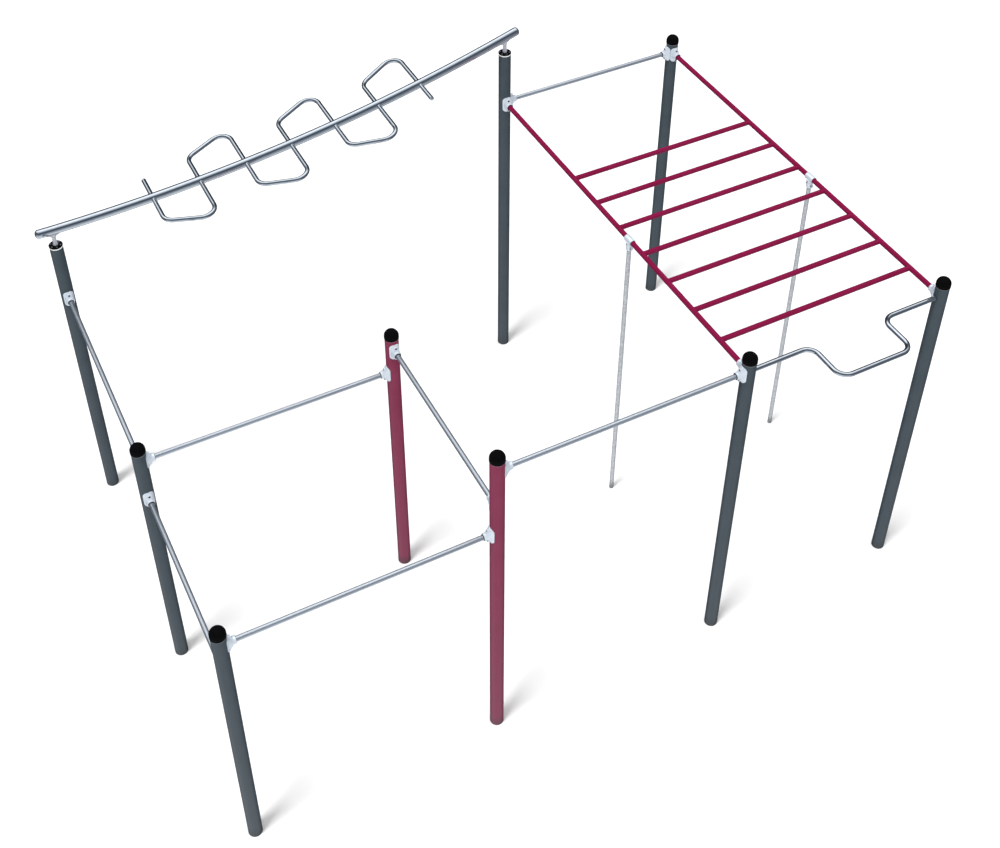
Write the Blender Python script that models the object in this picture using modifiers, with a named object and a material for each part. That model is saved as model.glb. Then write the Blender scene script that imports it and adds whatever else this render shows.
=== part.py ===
"""An outdoor fitness station: nine round posts on a grid, carrying straight grip bars, a bent
grip bar, a monkey ladder on two thin props, and a curved slalom beam with a wave bar through it.

Rows run along X and are lettered a (front), b and c (rear). Columns run along Y and are numbered
1 to 4 from left to right. A post is named for its place, so post_a1 is the front left one.
Metres, +Z up. The origin is on the ground, in the middle of the whole station.
"""

import math

import bmesh
import bpy
from mathutils import Vector

# Grid
COLUMN_1_TO_2 = 1.900
COLUMN_2_TO_3 = 1.900
COLUMN_3_TO_4 = 1.650
ROW_A_TO_B = 1.650
ROW_B_TO_C = 1.900

# Heights of the bar axes above the ground
LOW_BAR_HEIGHT = 1.845
MIDDLE_BAR_HEIGHT = 2.185
HIGH_BAR_HEIGHT = 2.425
LADDER_HEIGHT = 2.785

# Fits: the gap left between a piece and its seat
FIT = 0.0003

# Posts and their domed caps
POST_DIAMETER = 0.1016
POST_WALL = 0.0036
POST_FOOT_THICKNESS = 0.008
CAP_RIM_ABOVE_BAR = 0.097
CAP_WALL = 0.0029
CAP_SKIRT = 0.021
CAP_DOME_HEIGHT = 0.052

# Straight, bent and wave bars
GRIP_DIAMETER = 0.036
GRIP_WALL = 0.0026

# Bent bar between posts a3 and a4
BENT_BAR_DEPTH = 0.336
BENT_BAR_HALF_WIDTH = 0.302
BENT_BAR_BEND_RADIUS = 0.090
BENT_BAR_END_IN_POST = 0.010

# Monkey ladder
RAIL_DIAMETER = 0.040
RAIL_WALL = 0.0026
RUNG_PITCH = 0.338
RUNG_COUNT = 7

# Thin props under the rails, and their clamps
PROP_DIAMETER = 0.0357
PROP_WALL = 0.0026
PROP_FOOT_THICKNESS = 0.005
PROP_SETBACK = 1.533
CLAMP_WALL = 0.0065
CLAMP_SLEEVE_LENGTH = 0.084
CLAMP_SOCKET_DROP = 0.088
CLAMP_EAR_REACH = 0.012
CLAMP_EAR_THICKNESS = 0.014
CLAMP_EAR_HEIGHT = 0.034

# Cast brackets
BRACKET_HEIGHT = 0.134
BRACKET_CORNER_RADIUS = 0.028
BRACKET_FLANGE_THICKNESS = 0.007
BRACKET_SHOULDER = 0.006
BRACKET_REACH = 0.052
BRACKET_SOCKET_DEPTH = 0.034
BRACKET_COLLAR_WALL = 0.009

# Slalom beam: an arc in the plane of row c, over posts c1 and c3
BEAM_DIAMETER = 0.070
BEAM_WALL = 0.0040
BEAM_LOW_HEIGHT = 2.833
BEAM_RISE = 0.581
BEAM_ARC_RADIUS = 13.5
BEAM_OVERHANG = 0.135
BEAM_END_DOME = 0.027

# Wave bar: measured along the beam from post c1, and across from the beam's axis
WAVE_FIRST_LEG = 0.778
WAVE_LEG_PITCH = 0.380
WAVE_LEG_COUNT = 7
WAVE_NEAR_REACH = 0.315
WAVE_FAR_REACH = 0.482
WAVE_TIP_REACH = 0.236
WAVE_BEND_RADIUS = 0.098

# Beam stands on posts c1 and c3
STAND_RING_THICKNESS = 0.012
STAND_PLATE_THICKNESS = 0.006
STAND_PLATE_LIP = 0.002
STAND_STEM_DIAMETER = 0.034
STAND_GUSSET_THICKNESS = 0.010
STAND_GUSSET_REACH = 0.064
STAND_GUSSET_DROP = 0.036
STAND_POST_DROP = 0.159

# How round things are: sides of a tube, and the angle that one step of a bend covers
POST_SIDES = 24
TUBE_SIDES = 16
BEAM_SIDES = 16
BEAM_STEPS = 12
HOLLOW_SIDES = 12
WAVE_SIDES = 12
BEND_STEP = math.radians(22)
SHARP_ANGLE = math.radians(30)
CORNER_STEPS = 2
CAP_DOME_STEPS = 4
BEAM_DOME_STEPS = 3

# Shares
FLANGE_QUARTER_SHARE = 0.975

COLUMNS = {
    "1": 0.0,
    "2": COLUMN_1_TO_2,
    "3": COLUMN_1_TO_2 + COLUMN_2_TO_3,
    "4": COLUMN_1_TO_2 + COLUMN_2_TO_3 + COLUMN_3_TO_4,
}
ROWS = {"a": 0.0, "b": ROW_A_TO_B, "c": ROW_A_TO_B + ROW_B_TO_C}
POSTS = ("a1", "a2", "a3", "a4", "b1", "b2", "c1", "c3", "c4")
BEAM_POSTS = ("c1", "c3")
RASPBERRY_POSTS = ("a2", "b2")

# Each straight bar, from post to post, with its height
BARS = {
    ("a1", "b1"): LOW_BAR_HEIGHT,
    ("a1", "a2"): MIDDLE_BAR_HEIGHT,
    ("b1", "b2"): MIDDLE_BAR_HEIGHT,
    ("b1", "c1"): MIDDLE_BAR_HEIGHT,
    ("a2", "b2"): HIGH_BAR_HEIGHT,
    ("a2", "a3"): LADDER_HEIGHT,
    ("c3", "c4"): LADDER_HEIGHT,
}
RAILS = {"left": ("a3", "c3"), "right": ("a4", "c4")}

POST_RADIUS = POST_DIAMETER / 2
GRIP_RADIUS = GRIP_DIAMETER / 2
RAIL_RADIUS = RAIL_DIAMETER / 2
BEAM_RADIUS = BEAM_DIAMETER / 2
CAP_RADIUS = POST_RADIUS + FIT + CAP_WALL

# sRGB colour, roughness, metallic
FINISHES = {
    "slate powder coat": ("#4a545b", 0.45, 0.0),
    "raspberry powder coat": ("#8a3158", 0.45, 0.0),
    "ladder powder coat": ("#9e1c4f", 0.40, 0.0),
    "black cap plastic": ("#111112", 0.50, 0.0),
    "satin stainless steel": ("#b4bcc4", 0.30, 1.0),
    "polished stainless steel": ("#ccd2d8", 0.12, 1.0),
    "galvanised steel": ("#bfc4c8", 0.50, 0.8),
    "cast aluminium": ("#d5dde2", 0.42, 0.7),
}


def clear_scene():
    for obj in list(bpy.data.objects):
        bpy.data.objects.remove(obj, do_unlink=True)


def linear(hex_colour):
    """An sRGB hex colour as linear RGBA."""
    channels = [int(hex_colour[i : i + 2], 16) / 255 for i in (1, 3, 5)]
    return [c / 12.92 if c <= 0.04045 else ((c + 0.055) / 1.055) ** 2.4 for c in channels] + [1.0]


def make_material(name):
    colour, roughness, metallic = FINISHES[name]
    material = bpy.data.materials.new(name)
    material.use_nodes = True
    shader = material.node_tree.nodes["Principled BSDF"]
    shader.inputs["Base Color"].default_value = linear(colour)
    shader.inputs["Roughness"].default_value = roughness
    shader.inputs["Metallic"].default_value = metallic
    material.diffuse_color = linear(colour)
    return material


def link(obj, collection):
    collection.objects.link(obj)
    return obj


def cutter(mesh, name="cutter"):
    """A helper that shapes other pieces and is never seen itself."""
    obj = link(bpy.data.objects.new(name, mesh), CUTTERS)
    obj.hide_render = True
    obj.display_type = "WIRE"
    return obj


def piece(name, mesh, finish):
    obj = link(bpy.data.objects.new(name, mesh), STATION)
    if not mesh.materials:
        mesh.materials.append(None)
    obj.material_slots[0].link = "OBJECT"
    obj.material_slots[0].material = MATERIALS[finish]
    return obj


def evaluated_mesh(obj, name):
    """The mesh of an object with its modifiers, or of a curve's tube, with its caps welded on."""
    bpy.context.view_layer.update()
    graph = bpy.context.evaluated_depsgraph_get()
    mesh = bpy.data.meshes.new_from_object(obj.evaluated_get(graph), depsgraph=graph)
    mesh.name = name
    shape = bmesh.new()
    shape.from_mesh(mesh)
    bmesh.ops.remove_doubles(shape, verts=shape.verts, dist=FIT / 100)
    shape.to_mesh(mesh)
    shape.free()
    mesh.materials.clear()
    mesh.shade_smooth()
    mesh.set_sharp_from_angle(angle=SHARP_ANGLE)
    return mesh


def bake(obj, name):
    mesh = evaluated_mesh(obj, name)
    bpy.data.objects.remove(obj, do_unlink=True)
    return mesh


def combine(base, steps, name):
    """The mesh that is left of a base after a list of (operation, cutter) steps."""
    obj = cutter(base, name + "_blank")
    for operation, other in steps:
        modifier = obj.modifiers.new(operation.lower(), "BOOLEAN")
        modifier.operation = operation
        modifier.object = other
        modifier.solver = "EXACT"
    return bake(obj, name)


def turned(profile, sides, name):
    """A closed profile of (radius, height) points, turned round Z."""
    mesh = bpy.data.meshes.new(name)
    shape = bmesh.new()
    corners = [shape.verts.new((radius, 0, height)) for radius, height in profile]
    for first, second in zip(corners, corners[1:]):
        shape.edges.new((first, second))
    if profile[0][0] > 0:
        shape.edges.new((corners[-1], corners[0]))
    shape.to_mesh(mesh)
    shape.free()
    obj = cutter(mesh, name)
    screw = obj.modifiers.new("screw", "SCREW")
    screw.steps = sides
    screw.render_steps = sides
    screw.use_merge_vertices = True
    screw.merge_threshold = FIT / 10
    return bake(obj, name)


def tube_mesh(radius, wall, length, sides, name):
    """A round tube along Z with open ends, from height 0 up."""
    inner = radius - wall
    profile = [(radius, length), (radius, 0), (inner, 0), (inner, length)]
    return turned(profile, sides, name)


def rod_mesh(radius, start, end, sides, name, axis="Z"):
    """A solid round rod along an axis, between two places on it."""
    mesh = bpy.data.meshes.new(name)
    shape = bmesh.new()
    length = end - start
    bmesh.ops.create_cone(
        shape, cap_ends=True, segments=sides, radius1=radius, radius2=radius, depth=length
    )
    for vert in shape.verts:
        along = vert.co.z + start + length / 2
        across, up = vert.co.x, vert.co.y
        vert.co = {
            "X": (along, across, up),
            "Y": (up, along, across),
            "Z": (across, up, along),
        }[axis]
    shape.to_mesh(mesh)
    shape.free()
    return mesh


def bore_radius(radius, sides=TUBE_SIDES):
    """The corner radius of a faceted bore whose flats clear a round tube by the fit."""
    return (radius + FIT) / math.cos(math.pi / sides)


def block_mesh(low, high, name):
    """A box between two corners."""
    mesh = bpy.data.meshes.new(name)
    shape = bmesh.new()
    bmesh.ops.create_cube(shape, size=1)
    low, high = Vector(low), Vector(high)
    size, middle = high - low, (high + low) / 2
    for vert in shape.verts:
        vert.co = Vector(c * s for c, s in zip(vert.co, size)) + middle
    shape.to_mesh(mesh)
    shape.free()
    return mesh


def prism_mesh(outline, low, high, name, axis):
    """A flat outline extruded along an axis between two places."""
    mesh = bpy.data.meshes.new(name)
    shape = bmesh.new()
    index = "XYZ".index(axis)
    corners = []
    for point in outline:
        place = list(point)
        place.insert(index, low)
        corners.append(shape.verts.new(place))
    face = shape.faces.new(corners)
    raised = bmesh.ops.extrude_face_region(shape, geom=[face])["geom"]
    shift = Vector((0, 0, 0))
    shift[index] = high - low
    bmesh.ops.translate(
        shape, vec=shift, verts=[item for item in raised if isinstance(item, bmesh.types.BMVert)]
    )
    bmesh.ops.recalc_face_normals(shape, faces=shape.faces)
    shape.to_mesh(mesh)
    shape.free()
    return mesh


def curve_tube(points, radius, sides, name, radii=None):
    """The mesh of a solid tube along points, with closed ends. radii holds shares of the radius."""
    curve = bpy.data.curves.new(name, "CURVE")
    curve.dimensions = "3D"
    curve.bevel_depth = radius
    curve.bevel_resolution = sides // 2 - 2
    curve.use_fill_caps = True
    spline = curve.splines.new("POLY")
    spline.points.add(len(points) - 1)
    for index, (point, place) in enumerate(zip(spline.points, points)):
        point.co = (*place, 1)
        point.radius = radii[index] if radii else 1
    obj = link(bpy.data.objects.new(name, curve), CUTTERS)
    return bake(obj, name)


def rounded_path(corners, radius):
    """Straight runs through the corners, with an arc of one radius at each inner corner."""
    corners = [Vector(corner) for corner in corners]
    points = [corners[0]]
    for before, corner, after in zip(corners, corners[1:], corners[2:]):
        into = (corner - before).normalized()
        out = (after - corner).normalized()
        turn = into.angle(out)
        centre_way = (out - into).normalized()
        centre = corner + centre_way * radius / math.cos(turn / 2)
        start = corner - into * radius * math.tan(turn / 2)
        steps = max(1, round(turn / BEND_STEP))
        spoke = start - centre
        for step in range(steps + 1):
            angle = turn * step / steps
            points.append(centre + spoke * math.cos(angle) + into * radius * math.sin(angle))
    return points + [corners[-1]]


def rounded_rectangle(width, height, radius):
    points = []
    for turn, (side, top) in enumerate(((1, 1), (-1, 1), (-1, -1), (1, -1))):
        for step in range(CORNER_STEPS + 1):
            angle = math.pi / 2 * (turn + step / CORNER_STEPS)
            middle = (side * (width / 2 - radius), top * (height / 2 - radius))
            points.append(
                (middle[0] + radius * math.cos(angle), middle[1] + radius * math.sin(angle))
            )
    return points


def place_of(post):
    return Vector((COLUMNS[post[1]], ROWS[post[0]], 0))


def spans():
    """Every straight tube that brackets hold: its two posts, its height and its radius."""
    for posts, height in BARS.items():
        yield posts, height, GRIP_RADIUS
    for posts in RAILS.values():
        yield posts, LADDER_HEIGHT, RAIL_RADIUS


def highest_bar(post):
    heights = [height for posts, height, _ in spans() if post in posts]
    return max(heights)


def beam_centre():
    """The centre of the beam's arc, in the plane of row c, above the two points it passes."""
    low = Vector((COLUMNS["1"], BEAM_LOW_HEIGHT))
    high = Vector((COLUMNS["3"], BEAM_LOW_HEIGHT + BEAM_RISE))
    chord = high - low
    across = Vector((-chord.y, chord.x)).normalized()
    return (low + high) / 2 + across * math.sqrt(BEAM_ARC_RADIUS**2 - chord.length_squared / 4)


def beam_angle(x):
    """How far round the arc the beam is at this x, from the arc's lowest point."""
    return math.asin((x - beam_centre().x) / BEAM_ARC_RADIUS)


def on_beam(distance, across=0.0):
    """The point of the beam's axis that lies this far along it from post c1."""
    angle = beam_angle(COLUMNS["1"]) + distance / BEAM_ARC_RADIUS
    centre = beam_centre()
    return Vector(
        (
            centre.x + BEAM_ARC_RADIUS * math.sin(angle),
            ROWS["c"] + across,
            centre.y - BEAM_ARC_RADIUS * math.cos(angle),
        )
    )


def beam_length():
    """Along the beam's axis from post c1 to post c3."""
    return (beam_angle(COLUMNS["3"]) - beam_angle(COLUMNS["1"])) * BEAM_ARC_RADIUS


def beam_height(x):
    centre = beam_centre()
    return centre.y - math.sqrt(BEAM_ARC_RADIUS**2 - (x - centre.x) ** 2)


def beam_tube(radius, end_gap, dome, sides, name):
    """A tube along the beam that stops short of its ends by end_gap and is domed there."""
    start = end_gap - BEAM_OVERHANG
    end = beam_length() + BEAM_OVERHANG - end_gap
    angles = [math.pi / 2 * step / BEAM_DOME_STEPS for step in range(1, BEAM_DOME_STEPS)]
    low = [(start + dome * (1 - math.cos(a)), math.sin(a)) for a in angles]
    high = [(end - dome * (1 - math.cos(a)), math.sin(a)) for a in reversed(angles)]
    straight = end - start - 2 * dome
    middle = [(start + dome + straight * i / BEAM_STEPS, 1) for i in range(BEAM_STEPS + 1)]
    stations = low + middle + high
    points = [on_beam(distance) for distance, _ in stations]
    return curve_tube(points, radius, sides, name, [share for _, share in stations])


def stand_base(post):
    """The height of a beam post's top, on which its stand sits."""
    return beam_height(COLUMNS[post[1]]) - STAND_POST_DROP


def post_top(post):
    if post in BEAM_POSTS:
        return stand_base(post)
    return highest_bar(post) + CAP_RIM_ABOVE_BAR + CAP_SKIRT


def standing_tube(radius, wall, foot, height, sides, name):
    """A round tube with a closed foot and an open top."""
    inner = radius - wall
    profile = [(0, foot), (inner, foot), (inner, height), (radius, height), (radius, 0), (0, 0)]
    return turned(profile, sides, name)


def make_posts():
    for post in POSTS:
        finish = "raspberry powder coat" if post in RASPBERRY_POSTS else "slate powder coat"
        mesh = standing_tube(
            POST_RADIUS, POST_WALL, POST_FOOT_THICKNESS, post_top(post), POST_SIDES, "post_" + post
        )
        if post in ("a3", "a4"):
            # The bent bar goes into the side of the post that faces the other one.
            side = 1 if post == "a3" else -1
            reach = sorted((0, side * POST_DIAMETER))
            hole = rod_mesh(bore_radius(GRIP_RADIUS), *reach, TUBE_SIDES, "hole", "X")
            hole_cutter = cutter(hole, "bent_bar_hole_" + post)
            hole_cutter.location.z = LADDER_HEIGHT
            mesh = combine(mesh, [("DIFFERENCE", hole_cutter)], "post_" + post)
        obj = piece("post_" + post, mesh, finish)
        obj.location = place_of(post)


def cap_mesh():
    """A dome with a skirt that slips over the top of a post, and a flat seat inside for its end."""
    inner = POST_RADIUS + FIT
    seat = CAP_SKIRT + FIT
    profile = []
    for step in range(CAP_DOME_STEPS + 1):
        angle = math.pi / 2 * step / CAP_DOME_STEPS
        height = CAP_SKIRT + CAP_DOME_HEIGHT * math.cos(angle)
        profile.append((CAP_RADIUS * math.sin(angle), height))
    profile += [(CAP_RADIUS, 0), (inner, 0), (inner, seat), (0, seat)]
    return turned(profile, POST_SIDES, "cap")


def make_caps():
    mesh = cap_mesh()
    for post in POSTS:
        if post not in BEAM_POSTS:
            obj = piece("cap_" + post, mesh, "black cap plastic")
            obj.location = place_of(post) + Vector((0, 0, highest_bar(post) + CAP_RIM_ABOVE_BAR))


def bracket_mesh(tube_radius, name):
    """A bracket on a post along Z, holding a tube along +X."""
    back = POST_RADIUS + FIT
    front = back + BRACKET_FLANGE_THICKNESS
    mouth = POST_RADIUS + BRACKET_REACH
    spread = math.pi / 4 * FLANGE_QUARTER_SHARE
    width = 2 * front * math.sin(spread)
    outline = rounded_rectangle(width, BRACKET_HEIGHT, BRACKET_CORNER_RADIUS)
    flange = prism_mesh(outline, 0, front + BRACKET_REACH, name, "X")
    wrap = cutter(
        rod_mesh(front, -BRACKET_HEIGHT, BRACKET_HEIGHT, POST_SIDES, "wrap"), name + "_wrap"
    )
    # The body is the hull of a smaller rounded rectangle inside the flange and the round collar.
    shape = bmesh.new()
    edge = BRACKET_SHOULDER
    foot = rounded_rectangle(
        width - 2 * edge, BRACKET_HEIGHT - 2 * edge, BRACKET_CORNER_RADIUS - edge
    )
    collar = tube_radius + FIT + BRACKET_COLLAR_WALL
    for across, up in foot:
        shape.verts.new((math.sqrt(front**2 - across**2) - FIT, across, up))
        shape.verts.new((0, across, up))
    for step in range(TUBE_SIDES):
        angle = 2 * math.pi * (step + 0.5) / TUBE_SIDES
        shape.verts.new((mouth, collar * math.cos(angle), collar * math.sin(angle)))
    bmesh.ops.convex_hull(shape, input=shape.verts)
    bmesh.ops.delete(shape, geom=[v for v in shape.verts if not v.link_faces], context="VERTS")
    body = bpy.data.meshes.new("body")
    shape.to_mesh(body)
    shape.free()
    post = cutter(
        rod_mesh(back, -BRACKET_HEIGHT, BRACKET_HEIGHT, POST_SIDES, "post"), name + "_post"
    )
    bore = rod_mesh(
        bore_radius(tube_radius), mouth - BRACKET_SOCKET_DEPTH, mouth + edge, TUBE_SIDES, "bore", "X"
    )
    # The flange's two sides lie along radii of the post, so that two brackets can stand side by side.
    far = mouth + edge
    reach = far * math.tan(spread)
    wedge = prism_mesh(
        [(0, 0), (far, -reach), (far, reach)], -BRACKET_HEIGHT, BRACKET_HEIGHT, "wedge", "Z"
    )
    steps = [
        ("INTERSECT", wrap),
        ("UNION", cutter(body, name + "_body")),
        ("DIFFERENCE", post),
        ("DIFFERENCE", cutter(bore, name + "_bore")),
        ("INTERSECT", cutter(wedge, name + "_wedge")),
    ]
    return combine(flange, steps, name)


def make_brackets():
    meshes = {
        GRIP_RADIUS: bracket_mesh(GRIP_RADIUS, "grip_bracket"),
        RAIL_RADIUS: bracket_mesh(RAIL_RADIUS, "rail_bracket"),
    }
    for posts, height, radius in spans():
        for post, other in (posts, posts[::-1]):
            way = place_of(other) - place_of(post)
            obj = piece(f"bracket_{post}_to_{other}", meshes[radius], "cast aluminium")
            obj.location = place_of(post) + Vector((0, 0, height))
            obj.rotation_euler.z = math.atan2(way.y, way.x)


def straight_tube(name, start, end, radius, wall, finish):
    """A tube from one point to another, both on one level."""
    way = end - start
    obj = piece(name, tube_mesh(radius, wall, way.length, TUBE_SIDES, name), finish)
    obj.location = start
    obj.rotation_euler = (0, math.pi / 2, math.atan2(way.y, way.x))
    return obj


def seated_ends(posts, height):
    """Where a tube ends in the sockets of the brackets on its two posts."""
    first, second = (place_of(post) + Vector((0, 0, height)) for post in posts)
    inset = POST_RADIUS + BRACKET_REACH - BRACKET_SOCKET_DEPTH + FIT
    way = (second - first).normalized()
    return first + way * inset, second - way * inset


def make_bars_and_rails():
    for posts, height in BARS.items():
        start, end = seated_ends(posts, height)
        name = "bar_" + "_".join(posts)
        straight_tube(name, start, end, GRIP_RADIUS, GRIP_WALL, "satin stainless steel")
    for side, posts in RAILS.items():
        start, end = seated_ends(posts, LADDER_HEIGHT)
        name = "rail_" + side
        straight_tube(name, start, end, RAIL_RADIUS, RAIL_WALL, "ladder powder coat")


def make_rungs():
    """Tubes between the rails, with ends cut to fit round them."""
    blank = tube_mesh(RAIL_RADIUS, RAIL_WALL, COLUMN_3_TO_4, TUBE_SIDES, "rung")
    steps = []
    for side, x in (("left", 0), ("right", COLUMN_3_TO_4)):
        rail = rod_mesh(RAIL_RADIUS + FIT, -RUNG_PITCH, RUNG_PITCH, TUBE_SIDES, "rail", "Y")
        rail_cutter = cutter(rail, "rung_end_" + side)
        # The blank stands along Z, so the cutters do too.
        rail_cutter.location.z = x
        steps.append(("DIFFERENCE", rail_cutter))
    mesh = combine(blank, steps, "rung")
    for number in range(1, RUNG_COUNT + 1):
        obj = piece(f"rung_{number}", mesh, "ladder powder coat")
        obj.location = (COLUMNS["3"], ROWS["a"] + number * RUNG_PITCH, LADDER_HEIGHT)
        obj.rotation_euler.y = math.pi / 2


def clamp_mesh():
    """A sleeve round a rail along Y, with a socket below for the prop, and ears for bolts."""
    prop_radius = PROP_DIAMETER / 2
    sleeve_radius = RAIL_RADIUS + FIT + CLAMP_WALL
    socket_radius = prop_radius + FIT + CLAMP_WALL
    half = CLAMP_SLEEVE_LENGTH / 2
    seat = -(RAIL_RADIUS + FIT + CLAMP_WALL)
    sleeve = rod_mesh(sleeve_radius, -half, half, TUBE_SIDES, "sleeve", "Y")
    socket = rod_mesh(socket_radius, -CLAMP_SOCKET_DROP, 0, TUBE_SIDES, "socket")
    middle = -CLAMP_SOCKET_DROP + CLAMP_EAR_HEIGHT / 2 + CLAMP_WALL
    reach = socket_radius + CLAMP_EAR_REACH
    ears = block_mesh(
        (-CLAMP_EAR_THICKNESS / 2, -reach, middle - CLAMP_EAR_HEIGHT / 2),
        (CLAMP_EAR_THICKNESS / 2, reach, middle + CLAMP_EAR_HEIGHT / 2),
        "ears",
    )
    rail = rod_mesh(RAIL_RADIUS + FIT, -CLAMP_SLEEVE_LENGTH, CLAMP_SLEEVE_LENGTH, TUBE_SIDES, "r", "Y")
    prop = rod_mesh(
        bore_radius(prop_radius), -CLAMP_SOCKET_DROP - CLAMP_WALL, seat, TUBE_SIDES, "p"
    )
    steps = [
        ("UNION", cutter(socket, "clamp_socket")),
        ("UNION", cutter(ears, "clamp_ears")),
        ("DIFFERENCE", cutter(rail, "clamp_rail")),
        ("DIFFERENCE", cutter(prop, "clamp_prop")),
    ]
    return combine(sleeve, steps, "rail_clamp")


def make_props_and_clamps():
    mesh = clamp_mesh()
    radius = PROP_DIAMETER / 2
    length = LADDER_HEIGHT - RAIL_RADIUS - CLAMP_WALL - 2 * FIT
    for side, posts in RAILS.items():
        place = place_of(posts[0]) + Vector((0, PROP_SETBACK, 0))
        prop = standing_tube(
            radius, PROP_WALL, PROP_FOOT_THICKNESS, length, TUBE_SIDES, "prop_" + side
        )
        piece("prop_" + side, prop, "galvanised steel").location = place
        clamp = piece("rail_clamp_" + side, mesh, "cast aluminium")
        clamp.location = place + Vector((0, 0, LADDER_HEIGHT))


def make_bent_bar():
    """A bar between posts a3 and a4 that steps out to the front and back again, all on one level."""
    inner_face = POST_RADIUS - POST_WALL - BENT_BAR_END_IN_POST
    left, right = COLUMNS["3"] + inner_face, COLUMNS["4"] - inner_face
    middle = (left + right) / 2
    near, far = ROWS["a"], ROWS["a"] - BENT_BAR_DEPTH
    level = LADDER_HEIGHT
    corners = [
        (left, near, level),
        (middle - BENT_BAR_HALF_WIDTH, near, level),
        (middle - BENT_BAR_HALF_WIDTH, far, level),
        (middle + BENT_BAR_HALF_WIDTH, far, level),
        (middle + BENT_BAR_HALF_WIDTH, near, level),
        (right, near, level),
    ]
    points = rounded_path(corners, BENT_BAR_BEND_RADIUS)
    mesh = curve_tube(points, GRIP_RADIUS, WAVE_SIDES, "bent_bar")
    piece("bent_bar", mesh, "polished stainless steel")


def wave_legs():
    """How far along the beam each leg of the wave bar crosses it."""
    return [WAVE_FIRST_LEG + WAVE_LEG_PITCH * number for number in range(WAVE_LEG_COUNT)]


def make_wave_bar():
    """The bar is drawn flat, then laid along the beam's arc."""
    legs = wave_legs()
    corners = [(legs[0], WAVE_TIP_REACH, 0)]
    for number, (leg, following) in enumerate(zip(legs, legs[1:])):
        side = -1 if number % 2 == 0 else 1
        corners.append((leg, side * WAVE_NEAR_REACH, 0))
        corners.append((following, side * WAVE_FAR_REACH, 0))
    last_side = -1 if WAVE_LEG_COUNT % 2 else 1
    corners.append((legs[-1], last_side * WAVE_TIP_REACH, 0))
    points = [on_beam(p.x, p.y) for p in rounded_path(corners, WAVE_BEND_RADIUS)]
    mesh = curve_tube(points, GRIP_RADIUS, WAVE_SIDES, "wave_bar")
    piece("wave_bar", mesh, "polished stainless steel")


def make_beam():
    """A hollow arc with domed ends and a pair of holes for each leg of the wave bar."""
    outside = beam_tube(BEAM_RADIUS, 0, BEAM_END_DOME, BEAM_SIDES, "slalom_beam")
    inner = BEAM_RADIUS - BEAM_WALL
    hollow = beam_tube(inner, BEAM_END_DOME + BEAM_WALL, BEAM_WALL, HOLLOW_SIDES, "hollow")
    steps = [("DIFFERENCE", cutter(hollow, "beam_hollow"))]
    for leg in wave_legs():
        hole = rod_mesh(
            bore_radius(GRIP_RADIUS), -BEAM_DIAMETER, BEAM_DIAMETER, TUBE_SIDES, "hole", "Y"
        )
        hole_cutter = cutter(hole, "wave_hole")
        hole_cutter.location = on_beam(leg)
        steps.append(("DIFFERENCE", hole_cutter))
    piece("slalom_beam", combine(outside, steps, "slalom_beam"), "polished stainless steel")


def make_stands():
    """A ring, a plate, a stem and a gusset, all welded together, under the beam on two posts."""
    outside = beam_tube(BEAM_RADIUS + FIT, 0, BEAM_END_DOME, BEAM_SIDES, "beam")
    beam = cutter(outside, "stand_beam")
    plate_radius = POST_RADIUS + STAND_PLATE_LIP
    plate_base = FIT + STAND_RING_THICKNESS
    plate_top = plate_base + STAND_PLATE_THICKNESS
    stem_radius = STAND_STEM_DIAMETER / 2
    for post, level in zip(BEAM_POSTS, ("low", "high")):
        place = place_of(post)
        base = stand_base(post)
        profile = [
            (0, STAND_POST_DROP),
            (stem_radius, STAND_POST_DROP),
            (stem_radius, plate_top),
            (plate_radius, plate_top),
            (plate_radius, plate_base),
            (POST_RADIUS, plate_base),
            (POST_RADIUS, FIT),
            (0, FIT),
        ]
        stand = turned(profile, POST_SIDES, "stand")
        reach = STAND_GUSSET_REACH
        left = beam_height(place.x - reach) - base
        right = beam_height(place.x + reach) - base
        foot = STAND_POST_DROP - BEAM_RADIUS - STAND_GUSSET_DROP
        outline = [(-reach, left), (0, foot), (reach, right)]
        half = STAND_GUSSET_THICKNESS / 2
        gusset = cutter(prism_mesh(outline, -half, half, "gusset", "Y"), "gusset_" + level)
        # The blanks stand on the origin, so the beam is moved to meet them.
        beam.location = -place - Vector((0, 0, base))
        steps = [("UNION", gusset), ("DIFFERENCE", beam)]
        name = "beam_stand_" + level
        obj = piece(name, combine(stand, steps, name), "satin stainless steel")
        obj.location = place + Vector((0, 0, base))


def centre_station():
    """Puts everything under an empty that moves the middle of the station to the origin."""
    bpy.context.view_layer.update()
    corners = [o.matrix_world @ Vector(c) for o in STATION.objects for c in o.bound_box]
    root = link(bpy.data.objects.new("station_centre", None), STATION)
    for obj in list(STATION.objects) + list(CUTTERS.objects):
        if obj is not root:
            obj.parent = root
    for axis in (0, 1):
        places = [corner[axis] for corner in corners]
        root.location[axis] = -(min(places) + max(places)) / 2
    bpy.context.view_layer.update()


clear_scene()
STATION = bpy.data.collections.new("fitness_station")
CUTTERS = bpy.data.collections.new("cutters")
bpy.context.scene.collection.children.link(STATION)
bpy.context.scene.collection.children.link(CUTTERS)
MATERIALS = {name: make_material(name) for name in FINISHES}
make_posts()
make_caps()
make_bars_and_rails()
make_brackets()
make_rungs()
make_props_and_clamps()
make_bent_bar()
make_wave_bar()
make_beam()
make_stands()
centre_station()
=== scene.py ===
# %% [markdown]
# # An outdoor fitness station
# Nine round posts stand on a grid and carry straight grip bars, a bent grip bar, a monkey ladder
# and a curved slalom beam with a wave bar through it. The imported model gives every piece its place
# and size, with plain many-sided tubes. This lesson dresses it: each tube is made again as a
# smooth one, castings get their true form, and each surface gets the finish that it really has.

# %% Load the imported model
from math import asin, atan2, cos, pi, radians, sin, sqrt, tan

import bmesh
import bpy
from bmesh.types import BMEdge, BMesh, BMVert
from mathutils import Matrix, Vector


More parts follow.
